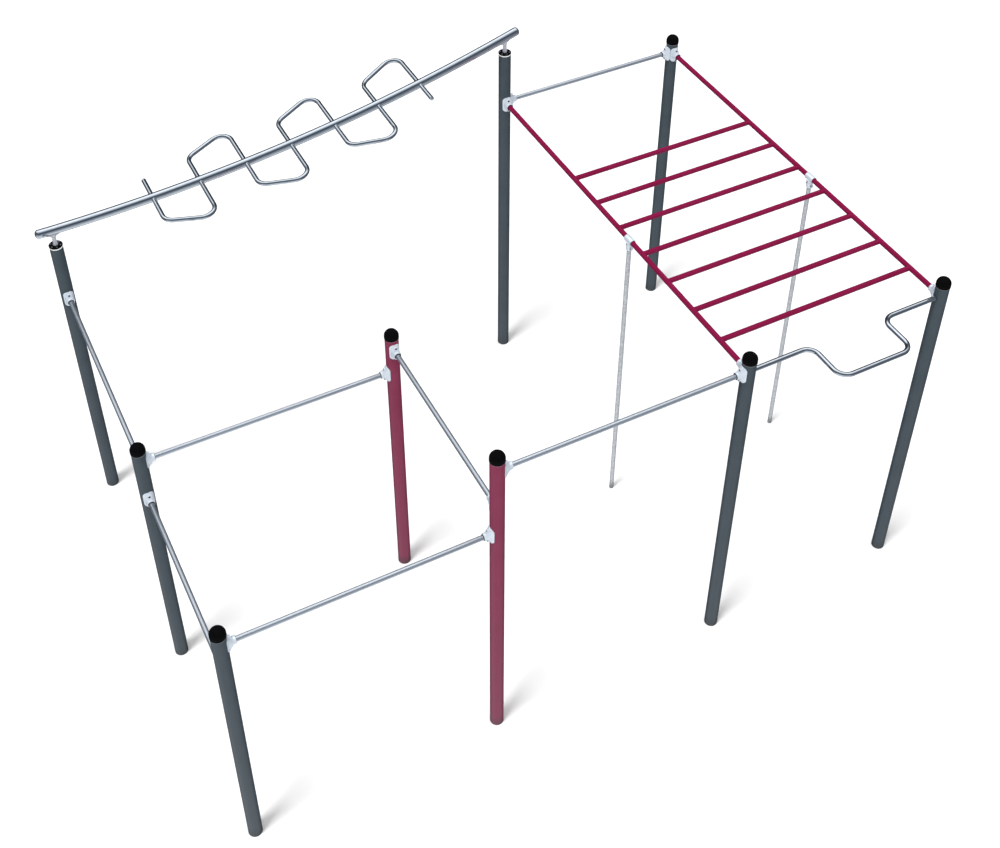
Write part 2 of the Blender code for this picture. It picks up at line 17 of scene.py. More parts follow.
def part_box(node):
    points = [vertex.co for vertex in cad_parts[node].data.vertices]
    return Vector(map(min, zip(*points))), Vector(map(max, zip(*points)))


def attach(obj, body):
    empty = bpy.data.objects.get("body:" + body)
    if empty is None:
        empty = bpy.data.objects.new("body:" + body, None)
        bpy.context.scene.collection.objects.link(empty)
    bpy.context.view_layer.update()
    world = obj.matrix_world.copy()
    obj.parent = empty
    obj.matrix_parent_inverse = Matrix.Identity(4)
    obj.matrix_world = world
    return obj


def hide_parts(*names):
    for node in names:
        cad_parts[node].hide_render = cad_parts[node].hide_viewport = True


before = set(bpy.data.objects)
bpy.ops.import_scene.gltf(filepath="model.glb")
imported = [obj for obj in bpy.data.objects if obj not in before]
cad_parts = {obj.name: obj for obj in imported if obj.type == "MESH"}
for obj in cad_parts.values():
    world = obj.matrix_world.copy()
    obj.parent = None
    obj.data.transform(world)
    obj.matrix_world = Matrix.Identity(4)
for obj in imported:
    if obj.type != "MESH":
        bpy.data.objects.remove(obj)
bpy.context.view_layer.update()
scene = bpy.context.scene

# %% [markdown]
# ## Real sizes
# The frame gives places and outer sizes. What it can't give, such as how a bar bends or how far a
# casting reaches, is written here once, in metres.

# %% Sizes that the frame doesn't give
MM = 0.001
GAP = 0.3 * MM

POST_WALL = 3.6 * MM
BAR_WALL = 2.6 * MM
CAP_LIP = 21 * MM

BEAM_ARC_RADIUS = 13.5
BEAM_ABOVE_POST = 159 * MM
BEAM_OVERHANG = 130 * MM
BEAM_END_DOME = 27 * MM

WAVE_FIRST_LEG = 0.778
WAVE_LEG_PITCH = 0.380
WAVE_LEG_COUNT = 7
WAVE_NEAR_REACH = 0.315
WAVE_FAR_REACH = 0.482
WAVE_TIP_REACH = 0.236
WAVE_BEND_RADIUS = 98 * MM

BENT_BAR_HALF_WIDTH = 0.302
BENT_BAR_BEND_RADIUS = 90 * MM

BARS = (("a1", "b1"), ("a1", "a2"), ("b1", "b2"), ("b1", "c1"))
BARS += (("a2", "b2"), ("a2", "a3"), ("c3", "c4"))
RAILS = {"left": ("a3", "c3"), "right": ("a4", "c4")}
CAPPED_POSTS = ("a1", "a2", "a3", "a4", "b1", "b2", "c4")
BEAM_POSTS = {"low": "c1", "high": "c3"}
RASPBERRY_POSTS = ("a2", "b2")
RUNG_COUNT = 7


# %% [markdown]
# ## Reading places from the frame
# A node's box is enough to place a straight tube: its middle line runs along the longest side, and
# the shortest side is its diameter.

# %% Places of posts and tubes
def middle_and_half(node):
    low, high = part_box(node)
    return (low + high) / 2, (high - low) / 2


def post_axis(post):
    """The point on the ground under a post's middle."""
    middle, _ = middle_and_half("post_" + post)
    return Vector((middle.x, middle.y, 0))


def on_post(post, height=0.0):
    """The matrix that takes the origin to this height on a post's axis."""
    return Matrix.Translation(post_axis(post) + Vector((0, 0, height)))


def tube_line(node):
    """The two ends and the radius of a straight tube's node."""
    middle, half = middle_and_half(node)
    axis = max(range(3), key=lambda index: half[index])
    reach = Vector((0, 0, 0))
    reach[axis] = half[axis]
    return middle - reach, middle + reach, min(half)


POST_RADIUS = tube_line("post_a1")[2]
GRIP_RADIUS = tube_line("bar_a1_a2")[2]
RAIL_RADIUS = tube_line("rail_left")[2]
BEAM_RADIUS = middle_and_half("slalom_beam")[1].y
LADDER_LEVEL = middle_and_half("rail_left")[0].z
print("radii", [round(r / MM, 1) for r in (POST_RADIUS, GRIP_RADIUS, RAIL_RADIUS, BEAM_RADIUS)])


# %% [markdown]
# ## Colours and nodes
# Colours are written as on a paint chart, in sRGB hex, and turned to linear light once. One small
# function adds any shader node, sets it up and links it.

# %% Colour and node helpers
def linear(hex_colour):
    channels = [int(hex_colour[i : i + 2], 16) / 255 for i in (1, 3, 5)]
    return [c / 12.92 if c <= 0.04045 else ((c + 0.055) / 1.055) ** 2.4 for c in channels] + [1.0]


def output_of(value):
    """The first output that a node offers, or the value itself where it is no node."""
    if isinstance(value, bpy.types.Node):
        return next(socket for socket in value.outputs if socket.enabled)
    return value


def add(tree, kind, inputs=None, feeds=None, **settings):
    """Adds a node. An input is a value, a socket or a node, and feeds is a socket that it goes to."""
    node = tree.nodes.new("ShaderNode" + kind)
    for name, value in settings.items():
        setattr(node, name, value)
    for key, value in (inputs or {}).items():
        value = output_of(value)
        if isinstance(value, bpy.types.NodeSocket):
            tree.links.new(value, node.inputs[key])
        else:
            node.inputs[key].default_value = value
    if feeds:
        tree.links.new(output_of(node), feeds)
    return node


def new_material(name, **shader_values):
    """A material whose Principled shader has these constant values on its own sockets."""
    material = bpy.data.materials.new(name)
    material.use_nodes = True
    shader = material.node_tree.nodes["Principled BSDF"]
    for key, value in shader_values.items():
        shader.inputs[key.replace("_", " ")].default_value = value
    place = add(material.node_tree, "TexCoord").outputs["Object"]
    return material, material.node_tree, shader, place


# A noise seldom leaves the middle of its range, so that part is spread over the whole of it.
NOISE_SPREAD = {"From Min": 0.3, "From Max": 0.7}


def lay_skin(tree, shader, pattern, colours, roughness, relief=None, strength=0.0, depth=0.0):
    """Lets a pattern shift the colour and the roughness, each between two values, and lays a relief."""
    if relief:
        bump = {"Height": relief, "Strength": strength, "Distance": depth}
        add(tree, "Bump", bump, shader.inputs["Normal"])
    share = add(tree, "MapRange", {**NOISE_SPREAD, "Value": pattern})
    paints = {0: share, 6: linear(colours[0]), 7: linear(colours[1])}
    rough = {**NOISE_SPREAD, "Value": pattern, "To Min": roughness[0], "To Max": roughness[1]}
    add(tree, "MapRange", rough, shader.inputs["Roughness"])
    return add(tree, "Mix", paints, shader.inputs["Base Color"], data_type="RGBA")


# %% [markdown]
# ## Powder coat
# Posts and ladder are steel tubes with a polyester powder coat, sprayed dry and baked. It melts to
# a skin with a slight orange peel, a few millimetres from hill to hill, under a soft gloss. Weather
# dulls it unevenly, and the foot of a post is painted darker, a painted shade where it meets the floor.

# %% Powder-coated steel
ORANGE_PEEL = 3 * MM
WEATHERING = 160 * MM
# The foot of a post or prop is painted darker towards the bottom, a painted shade where it meets the
# floor.
SPLASH_HEIGHT = 0.11
SPLASH_SHARE = 0.6
SOIL = linear("#2b2a29")


def splash_foot(tree, shader, place, paint, patches):
    """Painted shade that darkens the foot and fades out above its height, its edge broken by the patches.
    """
    height = add(tree, "SeparateXYZ", {"Vector": place}).outputs["Z"]
    fading = {"Value": height, "From Max": SPLASH_HEIGHT, "To Min": 2 * SPLASH_SHARE, "To Max": 0.0}
    fade = add(tree, "MapRange", fading)
    broken = add(tree, "Math", {0: fade, 1: patches}, operation="MULTIPLY")
    soiled = {0: broken, 6: paint, 7: SOIL}
    add(tree, "Mix", soiled, shader.inputs["Base Color"], data_type="RGBA")


def powder_coat(name, colours, roughness, gloss, splashed=False):
    material, tree, shader, place = new_material(
        name, Specular_IOR_Level=gloss, Coat_Weight=gloss / 5, Coat_Roughness=0.25
    )
    coarse = {"Vector": place, "Scale": 1 / WEATHERING, "Detail": 4.0}
    weather = add(tree, "TexNoise", coarse)
    peel = add(tree, "TexNoise", {"Vector": place, "Scale": 1 / ORANGE_PEEL, "Detail": 2.0})
    dull = (roughness - 0.05, roughness + 0.07)
    paint = lay_skin(tree, shader, weather, colours, dull, peel, 0.25, 0.1 * MM)
    # A post's foot gets the painted shade.
    if splashed:
        splash_foot(tree, shader, place, paint, weather)
    return material


slate_coat = powder_coat("slate_powder_coat", ("#36434b", "#3f4b53"), 0.42, 0.35, True)
raspberry_coat = powder_coat("raspberry_powder_coat", ("#7e1841", "#86234a"), 0.42, 0.35, True)
ladder_coat = powder_coat("ladder_powder_coat", ("#780838", "#800e40"), 0.46, 0.12)
# The rolled rim under each cap gets a lighter copy of its post's coat, a painted highlight.
slate_rim = powder_coat("slate_powder_coat_rim_painted_highlight", ("#73797e", "#83888c"), 0.40, 0.35)
raspberry_rim = powder_coat("raspberry_powder_coat_rim_painted_highlight", ("#a5607f", "#ad6d89"), 0.40, 0.35)
print("powder coats", len(bpy.data.materials))


# %% [markdown]
# ## Stainless steel
# Hands polish a grip bar, so it is stainless. The straight bars are satin: a belt turns round the
# tube and leaves fine scratches that circle it. A real scratch is under 0.1 mm wide and would not
# show, so it is drawn 1.5 mm wide. The beam and its bent bars are polished like a mirror, with only
# a faint unevenness left by the drawing and bending of the tube.

# %% Satin and polished stainless steel
SCRATCH_WIDTH = 1.5 * MM
SCRATCH_LENGTH = 60 * MM
DRAW_WAVES = 45 * MM


def satin_steel(name, along, colours):
    """Satin steel for tubes that run along one axis, 0 for X and 1 for Y."""
    material, tree, shader, place = new_material(name, Metallic=0.9)
    scales = [1 / SCRATCH_LENGTH] * 3
    scales[along] = 1 / SCRATCH_WIDTH
    stretched = add(tree, "Mapping", {"Vector": place, "Scale": scales})
    scratches = add(tree, "TexNoise", {"Vector": stretched, "Scale": 1.0, "Detail": 5.0})
    lay_skin(tree, shader, scratches, colours, (0.33, 0.44), scratches, 0.12, 0.05 * MM)
    return material


def polished_steel(name):
    material, tree, shader, place = new_material(name, Metallic=1.0)
    waves = add(tree, "TexNoise", {"Vector": place, "Scale": 1 / DRAW_WAVES, "Detail": 3.0})
    lay_skin(tree, shader, waves, ("#cfd6dc", "#dbe0e5"), (0.03, 0.06), waves, 0.03, 0.3 * MM)
    return material


# Besides the scratches' direction, the two copies differ in colour as painted light: bars along X are
# painted lighter, a painted highlight, and bars along Y darker, a painted shade.
satin_along = (
    satin_steel("stainless_steel_satin_x_painted_lit", 0, ("#d7dfe7", "#e6ecf2")),
    satin_steel("stainless_steel_satin_y_painted_shaded", 1, ("#c6cdd4", "#d3d9df")),
)
polished = polished_steel("stainless_steel_mirror_polished")
print("steels", len(satin_along) + 1)


# %% [markdown]
# ## Zinc
# The thin props are hot-dip galvanised: zinc freezes in flat crystals, about 12 mm across, each
# with its own grey. Bolts are zinc plated, which is darker and closer to a metal's own shine.

# %% Galvanised and plated steel
SPANGLE = 12 * MM


def crystalline(name, colours, roughness, metallic, splashed=False):
    material, tree, shader, place = new_material(name, Metallic=metallic)
    crystals = add(tree, "TexVoronoi", {"Vector": place, "Scale": 1 / SPANGLE})
    shade = add(tree, "SeparateColor", {"Color": crystals.outputs["Color"]})
    paint = lay_skin(tree, shader, shade, colours, roughness)
    # A prop's foot gets the same painted shade.
    if splashed:
        weather = add(tree, "TexNoise", {"Vector": place, "Scale": 1 / WEATHERING})
        splash_foot(tree, shader, place, paint, weather)
    return material


zinc = crystalline("hot_dip_galvanised_steel", ("#c0c5c8", "#d9dde0"), (0.38, 0.52), 0.5, True)
bolt_zinc = crystalline("zinc_plated_bolt_steel", ("#83898f", "#a2a8ad"), (0.38, 0.52), 0.9)


# %% [markdown]
# ## Castings, blasted and blackened steel, plastic and rubber
# The brackets are cast aluminium, blasted and clear coated, so they keep a fine pebbled skin that
# scatters light and looks almost white. The beam's stems are stainless, bead blasted to a dull pale
# grey, and its welds are pickled to a darker one. The recessed screws are blackened. Caps, plates
# and rings are moulded plastic with a spark-eroded grain, and the bushes are near-black rings, a
# painted shade for the gaps where tubes enter.

# %% Grained skins
def grained(name, colours, grain, roughness, depth, **shader_values):
    """A skin with an even grain, under a patchiness that is twelve times as coarse."""
    material, tree, shader, place = new_material(name, **shader_values)
    coarse = {"Vector": place, "Scale": 1 / (grain * 12), "Detail": 4.0}
    patches = add(tree, "TexNoise", coarse)
    pebbles = add(tree, "TexNoise", {"Vector": place, "Scale": 1 / grain, "Detail": 3.0})
    dull = (roughness - 0.06, roughness + 0.06)
    lay_skin(tree, shader, patches, colours, dull, pebbles, 0.35, depth)
    return material


cast_aluminium = grained(
    "cast_aluminium_blasted", ("#e0ebf6", "#e9f2fb"), 1.6 * MM, 0.36, 0.15 * MM, Metallic=0.4
)
blasted_steel = grained(
    "stainless_steel_bead_blasted", ("#c4c8d2", "#d2d5de"), 0.8 * MM, 0.55, 0.05 * MM, Metallic=0.3
)
pickled_weld = grained(
    "stainless_steel_weld_pickled", ("#6c7279", "#878d94"), 1.0 * MM, 0.50, 0.10 * MM, Metallic=0.8
)
black_plastic = grained(
    "black_polyamide_moulded", ("#030303", "#070708"), 1.2 * MM, 0.80, 0.10 * MM, Specular_IOR_Level=0.12
)
white_plastic = grained("white_polyamide_moulded", ("#f1f3f5", "#fafbfc"), 1.2 * MM, 0.38, 0.06 * MM)
screw_black = grained(
    "black_oxide_screw_steel", ("#050506", "#0a0b0c"), 0.8 * MM, 0.65, 0.04 * MM, Specular_IOR_Level=0.2
)
# Near-black bushes, a painted shade for the gaps where tubes enter.
black_rubber = grained("black_bush_painted_gap_shade", ("#1c1f24", "#24282e"), 0.8 * MM, 0.70, 0.08 * MM)
print("materials", len(bpy.data.materials))


# %% [markdown]
# ## Modelling helpers
# Almost every piece here is either turned, like a cap or a straight tube, or lofted from ring to
# ring, like a casting. A turned piece starts as a half outline and is spun round Z. A lofted one
# starts as one circle, whose edge is extruded again and again and moved to its next place.

# %% Turned shapes
ROUND = 72
SMALL_ROUND = 32
MERGE = 0.001 * MM
SIDE_DIVISOR = 2.1


def softened(corners, radius, steps=4):
    """An outline whose inner corners are rounded, each over less than half of its sides."""
    corners = [Vector(corner) for corner in corners]
    points = [corners[0]]
    for before, corner, after in zip(corners, corners[1:], corners[2:]):
        back, on = before - corner, after - corner
        reach = min(radius, back.length / SIDE_DIVISOR, on.length / SIDE_DIVISOR)
        start, end = corner + back.normalized() * reach, corner + on.normalized() * reach
        for step in range(steps + 1):
            t = step / steps
            points.append(start * (1 - t) ** 2 + corner * 2 * t * (1 - t) + end * t**2)
    return points + [corners[-1]]


def cleaned(shape):
    """Merges points that meet and turns every face outwards."""
    bmesh.ops.remove_doubles(shape, verts=shape.verts, dist=MERGE)
    bmesh.ops.recalc_face_normals(shape, faces=shape.faces)
    return shape


def turned(outline, segments=ROUND, closed=False):
    """A shape turned round Z from an outline of (radius, height) points."""
    shape = bmesh.new()
    verts = [shape.verts.new((radius, 0, height)) for radius, height in outline]
    edges = [shape.edges.new(pair) for pair in zip(verts, verts[1:])]
    if closed:
        edges.append(shape.edges.new((verts[-1], verts[0])))
    around = {"cent": (0, 0, 0), "axis": (0, 0, 1), "angle": 2 * pi, "use_merge": True}
    bmesh.ops.spin(shape, geom=verts + edges, steps=segments, **around)
    return cleaned(shape)


def disc(radius, height, softness, segments=ROUND):
    outline = [(0, height), (radius, height), (radius, 0), (0, 0)]
    return turned(softened(outline, softness), segments)


def quarter_steps(steps):
    """Angles from zero to a quarter turn."""
    return [pi / 2 * step / steps for step in range(steps + 1)]


def facing(start, way):
    """The matrix that takes Z to a direction and the origin to a point."""
    return Matrix.Translation(start) @ Vector(way).to_track_quat("Z", "Y").to_matrix().to_4x4()


def moved(shape, matrix):
    bmesh.ops.transform(shape, matrix=matrix, verts=shape.verts)
    return shape


def new_object(name, data):
    """An object in the scene, from a shape, which is used up, or from a camera's or lamp's data."""
    if isinstance(data, BMesh):
        shape, data = data, bpy.data.meshes.new(name)
        shape.to_mesh(data)
        shape.free()
    obj = bpy.data.objects.new(name, data)
    scene.collection.objects.link(obj)
    return obj


def bevelled(shape, edges, offset, segments):
    settings = {"offset_type": "OFFSET", "profile": 0.5, "affect": "EDGES", "material": -1}
    bmesh.ops.bevel(shape, geom=edges, offset=offset, segments=segments, **settings)
    return shape


# %% Lofted shapes
def only(kind, items):
    return [item for item in items if isinstance(item, kind)]


def once(items):
    """The items in their order, each only once. A set would give them in another order each run."""
    return list(dict.fromkeys(items))


def ring_edges(ring):
    return once(edge for vert in ring for edge in vert.link_edges if edge.other_vert(vert) in ring)


def extrude_ring(shape, edges):
    """Extrudes a ring of edges in place and gives the new ring's verts and edges."""
    made = bmesh.ops.extrude_edge_only(shape, edges=edges)["geom"]
    return only(BMVert, made), only(BMEdge, made)


def lofted(places, points=ROUND, joined=False):
    """A skin through rings. Each place gives the point of its ring at a turn from -pi to pi.
    Its two ends are closed, or joined to each other."""
    shape = bmesh.new()
    turn = shape.verts.layers.float.new("turn")
    ring = bmesh.ops.create_circle(shape, cap_ends=False, segments=points, radius=1)["verts"]
    for vert in ring:
        vert[turn] = atan2(vert.co.y, vert.co.x)
        vert.co = places[0](vert[turn])
    first = edges = ring_edges(ring)
    for place in places[1:]:
        ring, edges = extrude_ring(shape, edges)
        for vert in ring:
            vert.co = place(vert[turn])
    if joined:
        bmesh.ops.bridge_loops(shape, edges=first + edges)
    else:
        bmesh.ops.contextual_create(shape, geom=first)
        bmesh.ops.contextual_create(shape, geom=edges)
    bmesh.ops.recalc_face_normals(shape, faces=shape.faces)
    return shape


# %% [markdown]
# ## From shape to piece
# Every finished piece sits at the origin with its place in its mesh and rides on the one rigid body.
# The node that it stands for is hidden, and a table lists the record's material slot of each finish.
# Edges sharper than 35 degrees stay crisp when it is shaded.

# %% Finish a piece
SLOTS = {
    "slate_powder_coat": (slate_coat, slate_rim),
    "raspberry_powder_coat": (raspberry_coat, raspberry_rim),
    "ladder_powder_coat": (ladder_coat,),
    "black_cap_plastic": (black_plastic, black_rubber),
    "satin_stainless_steel": (*satin_along, blasted_steel),
    "polished_stainless_steel": (polished, pickled_weld),
    "galvanised_steel": (zinc, bolt_zinc, screw_black),
    "cast_aluminium": (cast_aluminium, white_plastic),
}
slot_of = {material.name: slot for slot, materials in SLOTS.items() for material in materials}
SHARP = radians(35)
made_pieces = []


def add_piece(shape, name, material, place=Matrix(), node=None):
    """Makes a piece of a shape, which is used up, and lets it stand for a node."""
    piece = new_object(name, moved(shape, place))
    piece.data.materials.append(material)
    piece.data.shade_smooth()
    piece.data.set_sharp_from_angle(angle=SHARP)
    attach(piece, "root")
    if node:
        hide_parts(node)
    made_pieces.append(piece)


# %% [markdown]
# ## Posts
# Each post is a steel tube, 101.6 mm across, cut square and closed at the foot. At the top its
# rim is slightly rolled, and that ring has a lighter coat, a painted highlight, so a pale line shows
# under each cap. The tube is turned from half of its section: inside wall, top edge, outside wall,
# foot.

# %% Make the posts
FOOT_THICKNESS = 8 * MM
RIM_HEIGHT = 7 * MM
RIM_PROUD = 1.6 * MM


def post_shape(height):
    inside = POST_RADIUS - POST_WALL
    outline = [(0, FOOT_THICKNESS), (inside, FOOT_THICKNESS), (inside, height)]
    outline += [(POST_RADIUS, height), (POST_RADIUS, 0), (0, 0)]
    return turned(softened(outline, 1.2 * MM))


def rim_shape():
    """A thin rolled ring round the tube, just under the cap."""
    outside = POST_RADIUS + RIM_PROUD
    outline = [(POST_RADIUS, 0), (outside, RIM_HEIGHT * 0.25)]
    outline += [(outside, RIM_HEIGHT * 0.75), (POST_RADIUS, RIM_HEIGHT)]
    return turned(softened(outline, 1.5 * MM), closed=True)


for post in [*CAPPED_POSTS, *BEAM_POSTS.values()]:
    node = "post_" + post
    # The rim ring takes the lighter coat, a painted highlight.
    coat, rim = (raspberry_coat, raspberry_rim) if post in RASPBERRY_POSTS else (slate_coat, slate_rim)
    add_piece(post_shape(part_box(node)[1].z), node + "_tube", coat, on_post(post), node)
    if post in CAPPED_POSTS:
        under_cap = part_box("cap_" + post)[0].z - RIM_HEIGHT
        add_piece(rim_shape(), node + "_rim", rim, on_post(post, under_cap))
print("posts", len(made_pieces))

# %% [markdown]
# ## Caps
# A black moulded dome closes each post against rain. Its skirt slips over the tube, with a small
# drip edge at the bottom, and the dome is a little flatter than half a ball.

# %% Make the caps
DOME_STEPS = 14
DRIP_GROOVE = 0.6 * MM
DRIP_EDGE = 0.8 * MM


def cap_shape(node):
    middle, half = middle_and_half(node)
    outside, height = half.x, 2 * half.z
    dome = height - CAP_LIP
    angles = quarter_steps(DOME_STEPS)
    outline = [(outside * sin(angle), CAP_LIP + dome * cos(angle)) for angle in angles]
    inside = POST_RADIUS + GAP
    groove = outside - DRIP_GROOVE
    skirt = [(outside, CAP_LIP * 0.3), (groove, CAP_LIP * 0.22), (outside, CAP_LIP * 0.14)]
    skirt += [(outside, DRIP_EDGE), (outside - DRIP_EDGE, 0), (inside, 0), (inside, CAP_LIP), (0, CAP_LIP)]
    return turned(outline + skirt)


for post in CAPPED_POSTS:
    node = "cap_" + post
    place = on_post(post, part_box(node)[0].z)
    add_piece(cap_shape(node), node + "_dome", black_plastic, place, node)
print("pieces", len(made_pieces))

# %% [markdown]
# ## Straight bars, rails and props
# Bars and rails are open tubes that end inside their brackets. They are turned as a wall with
# softened edges, then laid along the line that the node's box gives. Nothing here is scaled.

# %% Make the straight tubes


def tube_shape(length, radius, wall):
    inside = radius - wall
    outline = [(inside, 0), (radius, 0), (radius, length), (inside, length)]
    return turned(softened(outline, 0.5 * MM), closed=True)


def lay_tube(node, material):
    start, end, radius = tube_line(node)
    way = end - start
    tube = tube_shape(way.length, radius, BAR_WALL)
    add_piece(tube, node + "_tube", material, facing(start, way), node)


for first, second in BARS:
    node = f"bar_{first}_{second}"
    along_x = first[0] == second[0]
    lay_tube(node, satin_along[0 if along_x else 1])
for side in RAILS:
    lay_tube("rail_" + side, ladder_coat)
    lay_tube("prop_" + side, zinc)
print("pieces", len(made_pieces))


# %% [markdown]
# ## Rungs and their welds
# A rung is cut at each end to the curve of the rail and welded all round. The tube's end ring is
# moved onto the rail's surface. The weld is a small ring between the two tubes, lofted through
# four rings: one on the rung, one proud of the corner, one on the rail, and one hidden inside.

# %% Make the rungs
WELD_LEG = 3 * MM


def rail_surface(off_axis, radius):
    """How far the side of a round rail lies from its axis, at a height off the axis."""
    return sqrt(max(radius**2 - off_axis**2, 0))


def rung_shape(start, end):
    """A rung along X whose ends follow round rails of the same radius."""
    shape = moved(tube_shape(end.x - start.x, RAIL_RADIUS, BAR_WALL), facing(start, end - start))
    for vert in shape.verts:
        saved = rail_surface(vert.co.z - start.z, RAIL_RADIUS) - RAIL_RADIUS
        if vert.co.x - start.x < BAR_WALL:
            vert.co.x += saved
        elif end.x - vert.co.x < BAR_WALL:
            vert.co.x -= saved
    return shape


WELD_TOP_GAP = 0.1 * MM
WELD_FOOT_GAP = 0.3 * MM


def weld_shape(leg_radius, host_radius, side, bead=WELD_LEG):
    """The weld round a leg along +X, where it meets a host tube along Y on the origin."""

    def ring(out, away):
        def place(turn):
            radius = leg_radius + out
            y, z = radius * cos(turn), radius * sin(turn)
            return Vector((side * (rail_surface(z, host_radius) + away), y, z))

        return place

    rings = [ring(WELD_TOP_GAP, bead), ring(bead * 0.35, bead * 0.55)]
    rings += [ring(bead * 0.75, WELD_FOOT_GAP), ring(0, -bead / 2)]
    return lofted(rings, joined=True)


RAIL_X = {side: middle_and_half("rail_" + side)[0].x for side in RAILS}
for number in range(1, RUNG_COUNT + 1):
    node = f"rung_{number}"
    middle, half = middle_and_half(node)
    start = Vector((RAIL_X["left"] + RAIL_RADIUS, middle.y, middle.z))
    end = Vector((RAIL_X["right"] - RAIL_RADIUS, middle.y, middle.z))
    add_piece(rung_shape(start, end), node + "_tube", ladder_coat, node=node)
    for side, way in (("left", 1), ("right", -1)):
        place = Matrix.Translation((RAIL_X[side], middle.y, middle.z))
        weld = weld_shape(RAIL_RADIUS, RAIL_RADIUS, way)
        add_piece(weld, f"{node}_weld_{side}", ladder_coat, place)
print("pieces", len(made_pieces))

# %% [markdown]
# ## Saddle brackets
# Each bar ends in a cast aluminium saddle. Its flange wraps a quarter of the post, with sides
# along the post's radii so that two saddles can meet on one post. From the flange the body tapers
# to a round collar with the bar's socket. It is lofted through rings that start as the flange's
# rounded rectangle and end as the collar's circle.

# %% Rings of a bracket
FLANGE = 7 * MM
FLANGE_CORNER = 28 * MM
BRACKET_REACH = 52 * MM
SOCKET_DEPTH = 34 * MM
COLLAR_WALL = 9 * MM
COLLAR_LENGTH = 17 * MM
BRACKET_POINTS = 96
EDGE = 2.2 * MM
EDGE_STEPS = 4
FACE_INSET = 5.0 * MM
BODY_INSET = 6.2 * MM
BODY_SHARES = (0.05, 0.2, 0.4, 0.6, 0.8, 0.95, 1)
SEAT_WIDTH = 6.2 * MM
SEAT_DEPTH = 3 * MM
FLANGE_FRONT = POST_RADIUS + GAP + FLANGE
_, FLANGE_HALF_WIDTH, FLANGE_HALF_HEIGHT = middle_and_half("bracket_a1_to_a2")[1]


def flange_point(turn, inset):
    """Where a ray at this turn meets the flange's rounded outline, less an inset: (across, up)."""
    half_width, half_height = FLANGE_HALF_WIDTH - inset, FLANGE_HALF_HEIGHT - inset
    corner = max(FLANGE_CORNER - inset, inset)
    across, up = cos(turn), sin(turn)
    ray = Vector((abs(across), abs(up)))
    middle = Vector((half_width - corner, half_height - corner))
    reach = min(half_width / max(ray.x, 1e-9), half_height / max(ray.y, 1e-9))
    hit = ray * reach
    if hit.x > middle.x and hit.y > middle.y:
        along = ray.dot(middle)
        reach = along + sqrt(along**2 - middle.length_squared + corner**2)
    return across * reach, up * reach


def flange_ring(radius, inset):
    """A ring of the flange's outline, wrapped on a cylinder round the post."""

    def place(turn):
        across, up = flange_point(turn, inset)
        side = across / FLANGE_FRONT
        return Vector((radius * sqrt(1 - side**2), radius * side, up))

    return place


def body_ring(share, collar, mouth):
    """A ring of the tapering body, from the flange at share 0 to the collar at share 1."""
    last = round_ring(collar, mouth - COLLAR_LENGTH)

    def place(turn):
        across, up = flange_point(turn, BODY_INSET)
        first = Vector((sqrt(FLANGE_FRONT**2 - across**2), across, up))
        return first.lerp(last(turn), share)

    return place


def round_ring(radius, place_x):
    return lambda turn: Vector((place_x, radius * cos(turn), radius * sin(turn)))


def bracket_body(tube_radius):
    """A bracket on a post along Z, holding a tube along +X."""
    mouth = POST_RADIUS + BRACKET_REACH
    bore = tube_radius + GAP
    collar = bore + COLLAR_WALL
    seat = bore + SEAT_WIDTH
    angles = quarter_steps(EDGE_STEPS)
    edge = [(EDGE * (1 - cos(angle)), EDGE * (1 - sin(angle))) for angle in angles]
    rings = [flange_ring(POST_RADIUS + GAP, FLANGE_HALF_WIDTH * share) for share in (0.9, 0.6, 0.3, 0)]
    rings += [flange_ring(FLANGE_FRONT - sunk, inset) for inset, sunk in edge]
    rings.append(flange_ring(FLANGE_FRONT, FACE_INSET))
    rings += [body_ring(share, collar, mouth) for share in BODY_SHARES]
    rings += [round_ring(collar - inset, mouth - sunk) for inset, sunk in edge]
    rings += [round_ring(seat, mouth), round_ring(seat, mouth - SEAT_DEPTH)]
    rings += [round_ring(bore, mouth - SEAT_DEPTH), round_ring(bore, mouth - SOCKET_DEPTH)]
    return lofted(rings, BRACKET_POINTS)


# %% [markdown]
# A screw above the tube, and one below it, clamp the saddle to the post. Each sits in a round boss
# that stands level out of the sloping body, in a counterbored hole, so that the driver can reach it
# above the bar. The boss is joined to the body, and the hole is cut, with exact Booleans.

# %% Screw bosses and sockets
SCREW_UP = 45 * MM
BOSS_RADIUS = 13.0 * MM
BOSS_SUNK = 3 * MM
BOSS_REACH = 25 * MM
HOLE_RADIUS = 8.5 * MM
HOLE_DEPTH = 7 * MM
HEAD_GAP = 0.4 * MM
HEAD_HEIGHT = 6.0 * MM
DRIVE_RADIUS = 2.6 * MM


def rod(radius, start, end, softness=0.0):
    """A round bar along +X between two places, with softened ends."""
    outline = [(0, end), (radius, end), (radius, start), (0, start)]
    outline = softened(outline, softness) if softness else outline
    return moved(turned(outline, SMALL_ROUND), facing((0, 0, 0), (1, 0, 0)))


def hexagon(shape, radius, height, matrix):
    """Adds a six-sided prism round Z, whose middle goes from the origin to where matrix says."""
    sides = {"cap_ends": True, "segments": 6, "radius1": radius, "radius2": radius}
    bmesh.ops.create_cone(shape, depth=height, matrix=matrix, **sides)
    return shape


def helper(shape, name, up):
    """An object for a Boolean step, lifted by up."""
    return new_object(name, moved(shape, Matrix.Translation((0, 0, up))))


